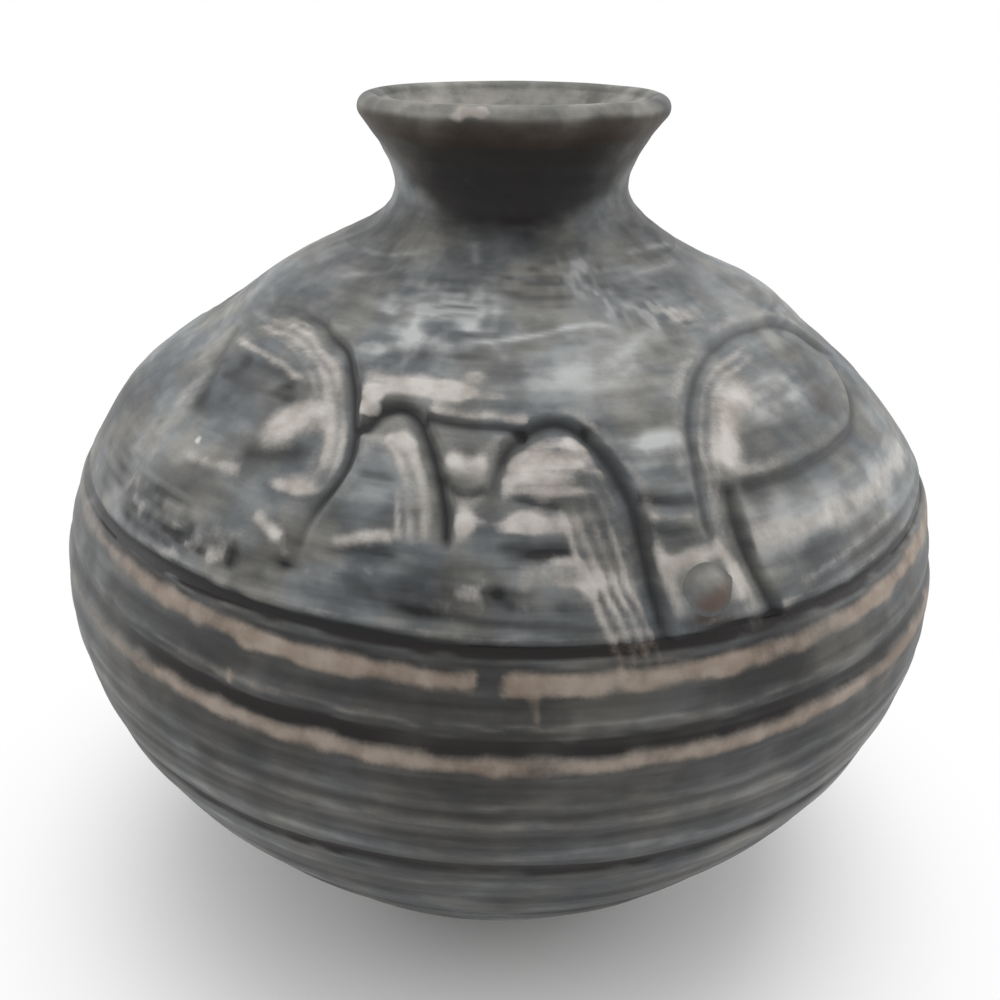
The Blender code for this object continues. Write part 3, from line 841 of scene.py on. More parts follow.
# Soft lines: trace, width, amount, points, and where they have them depth and taper
BAND_LINES = (
    Stripe(POOL_AND_SHADE, 1.3, 0.5, ((-67.5, 53.7), (-58.7, 52.1), (-51.6, 50.3), (-46.9, 48.8)), 0.1),
    Stripe(CLAY, 4.2, 0.34, ((-67, 52.6), (-58.3, 50.2), (-54, 48.6), (-52.8, 46.2), (-54, 43.6))),
    Stripe(CLAY, 0.6, 0.6, ((-63.7, 52.9), (-49.4, 52.8), (-39.2, 52.5), (-31.3, 52.1))),
    Stripe(CLAY, 0.9, 0.5, ((-48, 46.7), (-38.2, 47.3), (-33.6, 47.4))),
    Stripe(CLAY, 2.4, 0.9, ((-36, 49.2), (-33, 50), (-30.5, 50.9), (-28.6, 51.8)), 0, 0.35),
    Stripe(POOL_AND_SHADE, 1.7, 0.9, ((-37, 48.2), (-33, 48.5), (-29, 48.8), (-25, 48.9)), 0.1),
    Stripe(CLAY, 0.9, 0.7, ((-29.7, 45.8), (-27, 45.2), (-24.8, 44.6))),
    Stripe(POOL_AND_SHADE, 1.8, 0.3, ((-21.2, 48.6), (-22.4, 46.7), (-23.3, 44.8), (-23.7, 43.2))),
    Stripe(CLAY, 1.1, 0.85, ((-25.4, 53.1), (-17, 53.1), (-7, 52.9), (0, 52.6)), 0, 0.4),
    Stripe(CLAY, 1, 0.9, ((-8, 49.9), (-4.6, 49.5), (-1.5, 49.7))),
    Stripe(POOL_AND_SHADE, 0.55, 0.8, ((-7.6, 49.2), (-4.6, 48.1), (-1.6, 48.6)), 0.25),
    Stripe(POOL_AND_SHADE, 0.45, 0.6, ((-18.4, 48.5), (-15.6, 48.6), (-12.8, 48.6)), 0.12),
    Stripe(CLAY, 0.9, 0.8, ((-19.6, 45.1), (-15, 45.5), (-11.5, 45.8)), -0.06),
    Stripe(CLAY, 0.45, 0.5, ((-12.6, 48.4), (-12, 47), (-11.4, 45.5)), -0.05),
    Stripe(POOL_AND_SHADE, 0.5, 0.6, ((-21.5, 44.5), (-15, 44.8), (-10.5, 44.9)), 0.15),
    Stripe(POOL_AND_SHADE, 0.5, 0.7, ((1, 48.2), (4.2, 47.8), (8, 47.6)), 0.15),
    Stripe(POOL_AND_SHADE, 1, 0.72, ((-0.8, 45.6), (4, 45.6), (9.2, 45.9)), 0.2),
    Stripe(POOL_AND_SHADE, 0.75, 0.95, ((16.4, 47.9), (20, 47.6), (24.6, 47.5)), 0.25, 0.15),
    Stripe(POOL_AND_SHADE, 0.6, 0.75, ((16.8, 46.5), (19.6, 46.1), (23, 46.1)), 0.12),
    Stripe(CLAY, 0.5, 0.4, ((17, 47), (20, 46.8), (24, 46.7)), -0.04),
    Stripe(POOL_AND_SHADE, 0.5, 0.6, ((18.6, 40.9), (23.1, 40.8), (28.8, 40.6)), 0.15, 0.2),
    # Painted shadow under the pellet, in brown
    Stripe(BROWN, 0.6, 0.4, ((20.6, 41.4), (23, 41), (26, 41.1))),
    Stripe(CLAY, 0.9, 0.5, ((17.5, 46), (18.3, 43.6), (19.3, 41.3))),
    Stripe(CLAY, 0.8, 0.7, ((24.9, 47.4), (24.7, 46), (26, 44.4), (27.4, 42.9), (29.2, 41.2))),
    Stripe(POOL_AND_SHADE, 0.8, 0.6, ((11, 51.2), (12.6, 51.3), (14.4, 51.4)), 0.1),
    Stripe(CLAY, 1.8, 0.68, ((29.6, 45), (38.1, 44.9), (46.6, 44.8), (61.4, 44.5), (74, 44)), 0, 0.06),
    Stripe(FILM_AND_SHEEN, 2.4, 0.68, ((29.6, 45.2), (40, 45.2), (54, 45), (74, 44.3)), 0, 0.06),
    Stripe(CLAY, 0.6, 0.35, ((32.1, 41.4), (40.1, 42.2), (49.6, 42.6), (62.6, 42.9))),
    Stripe(POOL_AND_SHADE, 0.6, 0.6, ((33, 40.9), (41, 41.5), (50.5, 41.8), (64.7, 42), (78, 41.7)), 0.15),
    Stripe(CLAY, 1.8, 1, ((30.6, 47.9), (31.6, 49.2), (33.6, 50.4), (38.3, 51.5), (45.7, 52.3))),
    Stripe(POOL_AND_SHADE, 0.9, 0.4, ((-43, 42.9), (-32, 43), (-26, 43.1), (-19.9, 43.4)), 0.12),
    Stripe(POOL_AND_SHADE, 0.8, 0.26, ((-13.7, 44.3), (-7.2, 44.5), (-1.9, 44.4)), 0.08),
    Stripe(POOL_AND_SHADE, 0.7, 0.5, ((-14, 42.4), (-4, 41.9), (4, 41.6), (13, 41.3)), 0.12),
    Stripe(CLAY, 0.6, 0.5, ((3.7, 37.9), (4, 36.8), (4.2, 35.6))),
    Stripe(CLAY, 0.45, 0.5, ((-27.9, 36.6), (-27.4, 35.3))),
    Stripe(FILM_AND_SHEEN, 0.4, 0.7, ((-8.6, 58.2), (5.5, 58.2), (18.5, 58))),
    Stripe(FILM_AND_SHEEN, 0.45, 0.8, ((-10.2, 55), (0.9, 55.3), (15, 55.9), (26.7, 55.9))),
    Stripe(POOL_AND_SHADE, 0.9, 0.34, ((-25.6, 54.3), (-9.6, 54.5), (1, 54.8), (10, 55.2))),
    Stripe(FILM_AND_SHEEN, 1.1, 0.6, ((-22.1, 56.7), (-20, 56), (-17.4, 54.8))),
    Stripe(FILM_AND_SHEEN, 0.7, 0.6, ((-13.2, 60.3), (-12, 59.7), (-10.1, 58.9))),
    Stripe(FILM_AND_SHEEN, 0.5, 0.5, ((40.3, 59.3), (59.3, 59.2), (78, 58.8))),
    Stripe(FILM_AND_SHEEN, 0.5, 0.5, ((37.3, 58.2), (49, 58.2), (67.2, 58.2))),
    Stripe(FILM_AND_SHEEN, 0.5, 0.45, ((-62.5, 58.6), (-41.5, 58.8), (-28.5, 59.4))),
    Stripe(FILM_AND_SHEEN, 0.5, 0.45, ((-51.6, 57.2), (-40.9, 57.6), (-30.6, 58.4))),
    Stripe(POOL_AND_SHADE, 0.35, 0.4, ((-18.5, 56.6), (-12, 56.7), (-5.8, 56.7))),
    Stripe(POOL_AND_SHADE, 0.35, 0.4, ((-17.3, 56.1), (-11, 56.3), (-5.5, 56.3))),
    # Painted highlight streaks on the shoulder, rising to the right
    Stripe(FILM_AND_SHEEN, 1.7, 0.86, ((2, 53.4), (14, 54), (29, 55)), 0, 0.22),
    Stripe(FILM_AND_SHEEN, 0.9, 0.6, ((9, 52.9), (19, 53.4), (29, 54.2)), 0, 0.4),
)

# Tears: turn, height, half extents in turn and height, and depth. Patches: the same places after their
# trace, then amount, how streaked they are and how far beyond the height they lie
BAND_PATCHES = (
    Torn(-30, 43.3, 14, 1.3),
    Torn(-8, 43.2, 10, 1.4, clay=0.22),
    Torn(5, 43.4, 8, 1.5),
    Torn(-46, 43.6, 8, 1.2, clay=0.35),
    Torn(-42, 42, 16, 0.8, clay=0.22, pool=0.3),
    Torn(-33, 58.6, 14, 1.4, 0, clay=0, pool=0.12, haze=0.12),
    Torn(24, 58.2, 9, 1.4, 0.04, clay=0, pool=0.3, haze=0.6),
    Torn(-18, 54.6, 9, 1, 0.04, clay=0, pool=0.25, haze=0.6),
    Torn(32, 56, 12, 0.9, 0.04, clay=0.3, pool=0.3, haze=0.3),
    Patch(CLAY, -14, 52.8, 9, 0.8, 0.55, 0.5),
    Patch(CLAY, -21, 51.9, 2.2, 1.1, 0.9),
    Patch(CLAY, -14.2, 50.4, 2, 0.8, 0.5),
    Patch(CLAY, 6.8, 49.8, 5.6, 1.7, 0.85),
    Patch(CLAY, 4.2, 46.9, 5, 0.95, 1),
    Patch(CLAY, -4.6, 46.7, 1.5, 1.2, 0.65),
    Patch(CLAY, 21.3, 44.5, 3.6, 0.9, 0.75),
    Patch(CLAY, 26.4, 42.2, 1.2, 1.5, 0.3),
    Patch(CLAY, -25.6, 47.5, 3.4, 0.9, 0.8),
    Patch(CLAY, 6, 48.5, 6, 1.1, 0.55),
    Patch(CLAY, 32.8, 40.9, 1.8, 0.6, 0.3),
    Patch(CLAY, -44.2, 47.9, 0.6, 0.25, 0.9),
    Patch(CLAY, 8, 44.2, 3.4, 1, 0.85),
    Patch(CLAY, 42, 55.8, 5, 1.2, 0.4),
    Patch(CLAY, -4, 53.5, 2.4, 0.7, 0.5),
    Patch(CLAY, -14, 69, 6, 0.55, 0.9, 0, 1.25),
    Patch(CLAY, -0.6, 38.5, 1.3, 1.4, -0.9, 0),
    Patch(POOL_AND_SHADE, 3.5, 45.1, 5.5, 0.6, 0.5),
    Patch(POOL_AND_SHADE, -47, 40.4, 16, 0.8, 0.4, 0.1),
    # Painted shade on the far left of the band
    Patch(POOL_AND_SHADE, -66, 45.8, 10, 3.4, 0.36, 0.2),
    Patch(POOL_AND_SHADE, -57, 43.9, 9, 1.6, 0.34),
    Patch(POOL_AND_SHADE, -47, 43.6, 14, 1.6, 0.36),
    Patch(POOL_AND_SHADE, -28, 43, 12, 1.2, 0.24),
    Patch(POOL_AND_SHADE, -35, 42.4, 13, 0.9, 0.36),
    Patch(POOL_AND_SHADE, 1, 42.8, 12, 0.9, 0.2),
    Patch(POOL_AND_SHADE, -2, 42.8, 12, 1.3, 0.3),
    Patch(POOL_AND_SHADE, -43, 51.6, 8, 1.5, 0.5, 0.15),
    Patch(POOL_AND_SHADE, -51, 52, 4, 1.2, 0.4, 0.15),
    Patch(POOL_AND_SHADE, -35.5, 51.4, 3.4, 0.7, 0.5),
    Patch(POOL_AND_SHADE, -48.5, 49.6, 5, 1.3, 0.45),
    Patch(POOL_AND_SHADE, -42, 45.6, 9, 1.7, 0.5),
    Patch(POOL_AND_SHADE, -26, 44.7, 4.5, 1.5, 0.34),
    Patch(POOL_AND_SHADE, -5.6, 43.8, 3.4, 0.8, 0.16),
    Patch(POOL_AND_SHADE, 21, 49.4, 2.8, 0.5, 0.3),
    Patch(POOL_AND_SHADE, 42, 43.2, 9, 0.9, 0.36),
    Patch(POOL_AND_SHADE, 42, 49.7, 7, 1, 0.32),
    Patch(POOL_AND_SHADE, 7.5, 57.6, 9, 2, 0.4, 0.15),
    Patch(POOL_AND_SHADE, 38, 57.2, 9, 1.4, 0.3),
    Patch(FILM_AND_SHEEN, -16, 47, 2.6, 1, 0.3),
    Patch(FILM_AND_SHEEN, 20.8, 50.1, 4.5, 1.4, 0.8),
    Patch(FILM_AND_SHEEN, 47, 51, 10, 2, 0.44),
    # Painted sheen on the upper shoulder, streaked with pale film
    Patch(FILM_AND_SHEEN, -14, 56.7, 15, 2.2, 0.88, 0.25),
    Patch(FILM_AND_SHEEN, -14, 54.8, 11, 1, 0.75, 0.2),
    # Painted shadow under the pellet, in brown
    Patch(BROWN, 22.2, 41.6, 2.6, 0.8, 0.35),
    Patch(BROWN, 58.5, 49.9, 3.4, 1.6, 0.55),
    Patch(BROWN, 60.2, 52.4, 2, 0.7, 0.4),
)

# Dents and swellings: turn, height, half extents, and depth. Washes: trace, low, high, soft edge, amount
SHARED_MARKS: tuple[Mark, ...] = (
    Throwing(),
    Swell(-82, 51.8, 26, 4.6, 1.05),
    Swell(-82, 60, 26, 2.6, 0.65),
    Swell(84, 54.6, 24, 3.8, -0.8),
    Swell(84, 40.5, 22, 5, -0.62),
    # Darker slip and painted shade over the bowl below the band; its fade at the sides paints their sheen
    Wash(POOL_AND_SHADE, -5, 40.7, 0.8, 0.62, front=0.68, follows_rings=True),
    # Painted bounce light from the floor: the bowl lightens towards the foot
    Wash(POOL_AND_SHADE, -5, 24, 14, -0.16),
    *BOWL_RINGS,
    *BAND_STROKES,
    *BAND_LINES,
    *BAND_PATCHES,
    # Pale film over the upper shoulder, partly a painted sheen of the light from above
    Wash(FILM_AND_SHEEN, 52.5, 61, 1.6, 0.1, streaked=1.3),
    Wash(POOL_AND_SHADE, 56.6, 61.5, 2, 0.26, streaked=0.8),
    # Dark slip on the neck, deepened at its front in a U that sags at the sides, as painted shade
    Wash(POOL_AND_SHADE, 61, 68.3, 2.2, 0.95, front=0.56, sag=1.9),
    Wash(FILM_AND_SHEEN, 60.8, 68.2, 1, 0.12),
    # Brown under the lip: brown slip and the painted shadow of the lip
    Wash(BROWN, 67.2, 69.1, 0.7, 0.6, outside_only=True),
    # Pale film on the lip, held to the front, so the sides are painted darker against the side lamps
    Wash(FILM_AND_SHEEN, 69.1, 72, 0.6, 0.36, front=0.95),
)


class NodeBench:
    """Places nodes in the tree of a material or a world and joins them."""

    def __init__(self, owner: bpy.types.Material | bpy.types.World) -> None:
        """Starts with the nodes that the owner comes with."""
        owner.use_nodes = True
        self.tree = owner.node_tree

    def feed(self, socket: Socket, value: object) -> None:
        """Joins a socket to another node's output, or sets its value.

        Args:
            socket: The input.
            value: An output, a number, or a tuple for a colour or a vector.
        """
        if isinstance(value, Socket):
            self.tree.links.new(value, socket)
        elif isinstance(value, tuple) and socket.type == "RGBA":
            socket.default_value = (*value, 1)
        else:
            socket.default_value = value

    def add(self, kind: str, inputs: dict[str | int, object], **settings: str) -> bpy.types.Node:
        """Adds a node.

        Args:
            kind: Its type, without the prefix of all shader nodes.
            inputs: Values or outputs for its sockets, by name or number.
            settings: Properties of the node itself.

        Returns:
            The new node.
        """
        node = self.tree.nodes.new("ShaderNode" + kind)
        for name, setting in settings.items():
            setattr(node, name, setting)
        for name, value in inputs.items():
            self.feed(node.inputs[name], value)
        return node

    def coords(self) -> Socket:
        """The object's own coordinates."""
        return self.add("TexCoord", {}).outputs["Object"]

    def noise(self, vector: Socket, scale: float, detail: float) -> Socket:
        """A noise pattern over these coordinates."""
        return self.add("TexNoise", {"Vector": vector, "Scale": scale, "Detail": detail}).outputs["Fac"]

    def math(self, operation: str, *values: object) -> Socket:
        """The result of one operation on these values."""
        return self.add("Math", dict(enumerate(values)), operation=operation).outputs[0]

    def sum(self, *parts: tuple[object, float]) -> Socket:
        """A weighted sum.

        Args:
            parts: Pairs of an output or a number, and its weight.

        Returns:
            The output that holds the sum.
        """
        total: object = 0.0
        for value, weight in parts:
            total = self.math("MULTIPLY_ADD", value, weight, total)
        return total

    def spread(self, value: Socket, low: float, high: float) -> Socket:
        """The value eased from 0 at the low mark to 1 at the high one."""
        inputs = {"Value": value, "From Min": low, "From Max": high}
        return self.add("MapRange", inputs, interpolation_type="SMOOTHSTEP").outputs["Result"]

    def ramp(self, value: Socket, *stops: tuple[float, Colour]) -> Socket:
        """A run of colours.

        Args:
            value: What the colour follows.
            stops: Pairs of a position and its colour.

        Returns:
            The colour output.
        """
        node = self.add("ValToRGB", {"Fac": value})
        elements = node.color_ramp.elements
        while len(elements) < len(stops):
            elements.new(0.5)
        for element, (position, colour) in zip(elements, stops):
            element.position = position
            element.color = (*colour, 1)
        return node.outputs["Color"]

    def mix(self, share: object, first: object, second: object, blend: str = "MIX") -> Socket:
        """The first colour turned by a share into the second, or into a blend of both."""
        inputs = {"Factor": share, 6: first, 7: second}
        return self.add("Mix", inputs, data_type="RGBA", blend_type=blend).outputs[2]

    def trace(self, trace: Trace) -> Socket:
        """One trace of the piece that the material is on."""
        return self.add("Attribute", {}, attribute_name=trace.value).outputs["Fac"]

    def cover(self, colour: Socket, share: Socket, coat: Colour) -> Socket:
        """A colour under a coat of another, whose share is held between 0 and 1."""
        return self.mix(self.add("Clamp", {"Value": share}).outputs["Result"], colour, coat)

    def background_ray(self) -> Socket:
        """Tells the rays that show the background: camera, glossy and transmission rays.

        Returns:
            An output that is 1 for them.
        """
        rays = self.add("LightPath", {}).outputs
        glossy = self.math("MAXIMUM", rays["Is Camera Ray"], rays["Is Glossy Ray"])
        return self.math("MAXIMUM", glossy, rays["Is Transmission Ray"])


@dataclass(frozen=True)
class SlipFinish:
    """Satin charcoal slip, worn through to a pinkish clay.

    Each noise pattern, from cloud to grain, has a scale and a detail.
    """

    name: str
    slip_dark: Colour = (0.074, 0.079, 0.083)
    slip_mid: Colour = (0.136, 0.141, 0.142)
    slip_light: Colour = (0.240, 0.242, 0.236)
    cool_tint: Colour = (0.92, 0.96, 1.0)
    warm_tint: Colour = (1.0, 0.965, 0.90)
    clay_deep: Colour = (0.360, 0.324, 0.295)
    clay_pale: Colour = (0.545, 0.518, 0.486)
    # Colours of the traces: the pool colour also paints shade, the film colour sheen and highlights, the
    # brown colour shadows
    pool_and_shade_colour: Colour = (0.018, 0.0155, 0.015)
    film_and_sheen_colour: Colour = (0.440, 0.450, 0.445)
    brown_and_shade_colour: Colour = (0.050, 0.034, 0.025)
    roughness: float = 0.48
    specular: float = 0.16
    clay_base: float = 0.0
    brushed: float = 0.12
    cloud: Spot = (120.0, 5)
    blotch: Spot = (360.0, 4)
    hue: Spot = (170.0, 3)
    streak: Spot = (150.0, 6)
    fine: Spot = (620.0, 4)
    crumbs: Spot = (520.0, 4)
    grain: Spot = (3600.0, 2)
    streak_squash: float = 7.0
    tone_stops: tuple[float, float, float] = (0.41, 0.5, 0.59)
    hue_range: Spot = (0.4, 0.6)
    broken_range: Spot = (0.40, 0.60)
    bare_range: Spot = (0.08, 0.92)
    clay_range: Spot = (0.40, 0.60)
    bare_shift: float = -0.375
    bump: float = 0.22
    bump_depth: float = 0.25 * MM

    def make(self) -> bpy.types.Material:
        """Builds the material.

        Returns:
            A material that reads the traces of the piece that it is on.
        """
        material = bpy.data.materials.new(self.name)
        bench = NodeBench(material)
        coords = bench.coords()
        squash = {"Vector": coords, "Scale": (1, 1, self.streak_squash)}
        squashed = bench.add("Mapping", squash).outputs["Vector"]
        cloud = bench.noise(coords, *self.cloud)
        blotch = bench.noise(coords, *self.blotch)
        streak = bench.noise(squashed, *self.streak)
        fine = bench.noise(squashed, *self.fine)
        crumbs = bench.noise(coords, *self.crumbs)
        grain = bench.noise(coords, *self.grain)
        tone = bench.sum((cloud, 0.5), (blotch, 0.5 - self.brushed), (streak, self.brushed))
        slip = bench.ramp(tone, *zip(self.tone_stops, (self.slip_dark, self.slip_mid, self.slip_light)))
        hue = bench.spread(bench.noise(coords, *self.hue), *self.hue_range)
        colour = bench.mix(1.0, slip, bench.mix(hue, self.cool_tint, self.warm_tint), "MULTIPLY")
        broken = bench.spread(bench.sum((blotch, 0.6), (streak, 0.4)), *self.broken_range)
        # The film also lays painted sheen and highlights, the pool painted shade and the brown painted
        # shadows
        film_and_sheen = bench.math("MULTIPLY", bench.trace(FILM_AND_SHEEN), bench.sum((broken, 0.8), (0.45, 1.0)))
        colour = bench.cover(colour, film_and_sheen, self.film_and_sheen_colour)
        colour = bench.cover(colour, bench.trace(POOL_AND_SHADE), self.pool_and_shade_colour)
        colour = bench.cover(colour, bench.trace(BROWN), self.brown_and_shade_colour)
        worn = bench.sum((bench.trace(CLAY), 1.0), (self.clay_base, 1.0))
        exposed = bench.sum((worn, 1.0), (crumbs, 0.55), (grain, 0.2), (self.bare_shift, 1.0))
        bare = bench.spread(exposed, *self.bare_range)
        clay_tone = bench.sum((cloud, 0.4), (crumbs, 0.6))
        clay = bench.ramp(clay_tone, *zip(self.clay_range, (self.clay_deep, self.clay_pale)))
        rough = bench.sum((self.roughness - 0.1, 1.0), (streak, 0.2), (bare, 0.18))
        relief = bench.sum((grain, 0.35), (fine, 0.3), (crumbs, 0.5))
        bump = bench.add("Bump", {"Strength": self.bump, "Distance": self.bump_depth, "Height": relief})
        surface = {
            "Base Color": bench.mix(bare, colour, clay),
            "Roughness": rough,
            "Normal": bump.outputs["Normal"],
            "Specular IOR Level": self.specular,
        }
        for name, value in surface.items():
            bench.feed(bench.tree.nodes["Principled BSDF"].inputs[name], value)
        return material


@dataclass
class Piece:
    """One piece of the pot, which stands for a node of the frame."""

    wall: WallCurve
    finish: SlipFinish
    name: str = ""
    node: str = ""
    slot: str = ""
    segments: int = 400

    def shape(self) -> bpy.types.Object:
        """Makes the piece's mesh, with its traces."""
        raise NotImplementedError

    def dress(self, piece: bpy.types.Object) -> None:
        """Gives the piece its material and smooth shading.

        Args:
            piece: The shaped piece.
        """
        piece.data.materials.clear()
        piece.data.materials.append(self.finish.make())
        bpy.ops.object.select_all(action="DESELECT")
        piece.select_set(True)
        bpy.context.view_layer.objects.active = piece
        bpy.ops.object.shade_smooth_by_angle(angle=SHARP_ANGLE)

    def build(self) -> bpy.types.Object:
        """Makes the piece, hides the frame's part for its node, and puts the piece on the pot's body.

        Returns:
            The finished piece.
        """
        piece = self.shape()
        self.dress(piece)
        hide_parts(self.node)
        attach(piece, BODY)
        return piece


@dataclass
class TurnedSection(Piece):
    """A section of the pot, spun from its outline and then marked."""

    step: float = 0.2 * MM
    inner_step: float = 2.2 * MM
    inner_clay: float = 0.0
    inner_haze: float = 0.0
    mouth_tilt: float = 0.023
    mouth_drop: float = 0.2 * MM
    mouth_start: float = 57 * MM
    mouth_reach: float = 10 * MM

    def outside(self) -> Array:
        """Radius and height points up the outside, which the marks are pressed into."""
        raise NotImplementedError

    def inside(self) -> Array:
        """Radius and height points that close the outline, from its top back to its foot."""
        raise NotImplementedError

    def start_length(self) -> float:
        """Length along the wall curve at which the outside starts."""
        return 0.0

    def run(self, first: float, last: float, step: float, depth: float = 0.0) -> Array:
        """Evenly spaced points of the wall.

        Args:
            first: Length along the curve where they start.
            last: Length where they end.
            step: Their spacing, at most.
            depth: How deep in the clay they lie.

        Returns:
            One row of radius and height for each point.
        """
        count = max(2, math.ceil(abs(last - first) / step) + 1)
        return self.wall.at(np.linspace(first, last, count), depth)

    def shape(self) -> bpy.types.Object:
        """Spins the section and presses every mark into its outside.

        Returns:
            The section, which keeps the traces of its marks.
        """
        outside = self.outside()
        piece = spin_outline(self.name, np.vstack([outside, self.inside()]), self.segments)
        mesh = piece.data
        places = read_places(mesh)
        station = take_values(mesh, STATION).round().astype(int)
        marked = np.flatnonzero(station < len(outside))
        ring = station[marked]
        lengths = self.start_length() + run_lengths(outside)[ring]
        normals = run_normals(outside)[ring]
        radius, height = outside[ring].T / MM
        around = np.arctan2(places[marked, 0], -places[marked, 1])
        skin = Skin(self.wall, np.degrees(around), lengths / MM, radius, height, normals)
        for mark in SHARED_MARKS:
            mark.press(skin)
        places[marked] -= swing(normals[:, 0], around, normals[:, 1]) * skin.depth[:, None] * MM
        askew = smooth((places[:, 2] - self.mouth_start) / self.mouth_reach)
        places[:, 2] += askew * (self.mouth_tilt * places[:, 0] - self.mouth_drop)
        write_places(mesh, places)
        inner = {CLAY: self.inner_clay, FILM_AND_SHEEN: self.inner_haze}
        for trace in Trace:
            amount = np.full(len(places), inner.get(trace, 0.0))
            amount[marked] = skin.traces[trace]
            write_values(mesh, trace.value, amount)
        return piece


@dataclass
class FootRing(TurnedSection):
    """The turned ring that the pot stands on."""

    name: str = "foot_ring_fine"
    node: str = "foot_ring"
    slot: str = "bare_clay"
    segments: int = 256
    inner_clay: float = 0.6
    radius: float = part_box("foot_ring")[1][0]
    width: float = 4.2 * MM
    chamfer: float = 0.5 * MM
    sink: float = 0.2 * MM
    root: float = 0.8 * MM
    outer_steps: int = 8
    inner_steps: int = 6

    def top(self) -> float:
        """Height of the ring's top, which is sunk into the bowl."""
        return self.wall.foot_height + self.sink

    def outside(self) -> Array:
        """Climbs the outer side of the ring, with a soft root under the bowl.

        Returns:
            Radius and height points.
        """
        arc = np.linspace(0, UPRIGHT, self.outer_steps)
        over, up = 1 - np.cos(arc), np.sin(arc)
        edge = np.column_stack([self.radius - self.chamfer * (1 - up), self.chamfer * over])
        root = np.column_stack([self.radius + self.root * over, self.top() - self.root + self.root * up])
        return np.vstack([edge, root])

    def inside(self) -> Array:
        """Runs across the top, down the inner side and over the face that it stands on.

        Returns:
            Radius and height points.
        """
        inner = self.radius - self.width
        arc = np.linspace(0, UPRIGHT, self.inner_steps)
        edge = np.column_stack([inner + self.chamfer * (1 - np.cos(arc)), self.chamfer * (1 - np.sin(arc))])
        return np.vstack([(inner, self.top()), edge])


@dataclass
class LowerBowl(TurnedSection):
    """The ringed bowl with its floor."""

    name: str = "lower_bowl_fine"
    node: str = "lower_bowl"
    slot: str = "ringed_glaze"
    segments: int = 520
    step: float = 0.29 * MM
    floor: float = 4.0 * MM
    fillet: float = 5.0 * MM
    fillet_bend: Spot = (0.3, 0.2)

    def outside(self) -> Array:
        """From the bowl's foot up to the carved band."""
        return self.run(0, self.wall.length_at(BAND_FOOT), self.step)

    def inside(self) -> Array:
        """Runs down the inner wall, over the floor to the axis and out along the underside.

        Returns:
            Radius and height points.
        """
        floor_top = self.wall.foot_height + self.floor
        seam, fillet_end = self.wall.length_at(np.array([BAND_FOOT, floor_top + self.fillet]))
        wall = self.run(seam, fillet_end, self.inner_step, self.wall.wall)
        inset, lift = np.array(self.fillet_bend) * self.fillet
        bend = (wall[-1, 0] - inset, floor_top + lift)
        corner = (wall[-1, 0] - self.fillet, floor_top)
        return np.vstack([wall, bend, corner, (0, floor_top), (0, self.wall.foot_height)])


@dataclass
class WallSection(TurnedSection):
    """A section that follows the wall from one seam to the next, open at both."""

    low: float = 0.0
    high: float = 0.0

    def seams(self) -> Array:
        """Lengths along the wall curve at the two seams."""
        return self.wall.length_at(np.array([self.low, self.high]))

    def start_length(self) -> float:
        """Length along the wall curve at the lower seam."""
        return self.seams()[0]

    def outside(self) -> Array:
        """From the lower seam up to the higher one."""
        return self.run(*self.seams(), self.step)

    def inside(self) -> Array:
        """Back down the inner wall."""
        return self.run(*self.seams()[::-1], self.inner_step, self.wall.wall)


@dataclass
class CarvedShoulder(WallSection):
    """The domed shoulder with the carved band."""

    name: str = "shoulder_fine"
    node: str = "shoulder_dome"
    slot: str = "carved_glaze"
    segments: int = 790
    step: float = 0.26 * MM
    inner_step: float = 5 * MM
    low: float = BAND_FOOT
    high: float = NECK_SEAM


@dataclass
class NeckCollar(WallSection):
    """The waisted neck."""

    name: str = "neck_fine"
    node: str = "neck_collar"
    slot: str = "neck_glaze"
    step: float = 0.22 * MM
    low: float = NECK_SEAM
    high: float = RIM_SEAM


@dataclass
class MouthRim(TurnedSection):
    """The flared mouth with its round lip."""

    name: str = "rim_fine"
    node: str = "mouth_rim"
    slot: str = "rim_glaze"
    inner_clay: float = 0.18
    inner_haze: float = 0.47
    bead_end: float = 0.8 * math.pi
    bead_steps: int = 20
    throat_steps: int = 14
    throat_bend: float = 2.0 * MM

    def start_length(self) -> float:
        """Length along the wall curve at the rim's foot."""
        return self.wall.length_at(RIM_SEAM)

    def outside(self) -> Array:
        """Climbs the flare and goes over the bead of the lip.

        Returns:
            Radius and height points.
        """
        flare = self.run(self.start_length(), self.wall.lengths[-1], self.step)
        arc = np.linspace(self.wall.flare_slope - UPRIGHT, self.bead_end, self.bead_steps)
        return np.vstack([flare, [self.wall.lip_point(angle) for angle in arc[1:]]])

    def inside(self) -> Array:
        """Runs down the funnel of the mouth into the throat.

        Returns:
            Radius and height points.
        """
        t = np.linspace(0, 1, self.throat_steps)[1:, None]
        start = Station(*self.wall.lip_point(self.bead_end), self.bead_end + UPRIGHT)
        end = self.wall.at(self.start_length(), self.wall.wall)[0]
        bend = start.along(self.throat_bend)
        return (1 - t) ** 2 * start.along() + 2 * t * (1 - t) * bend + t**2 * end


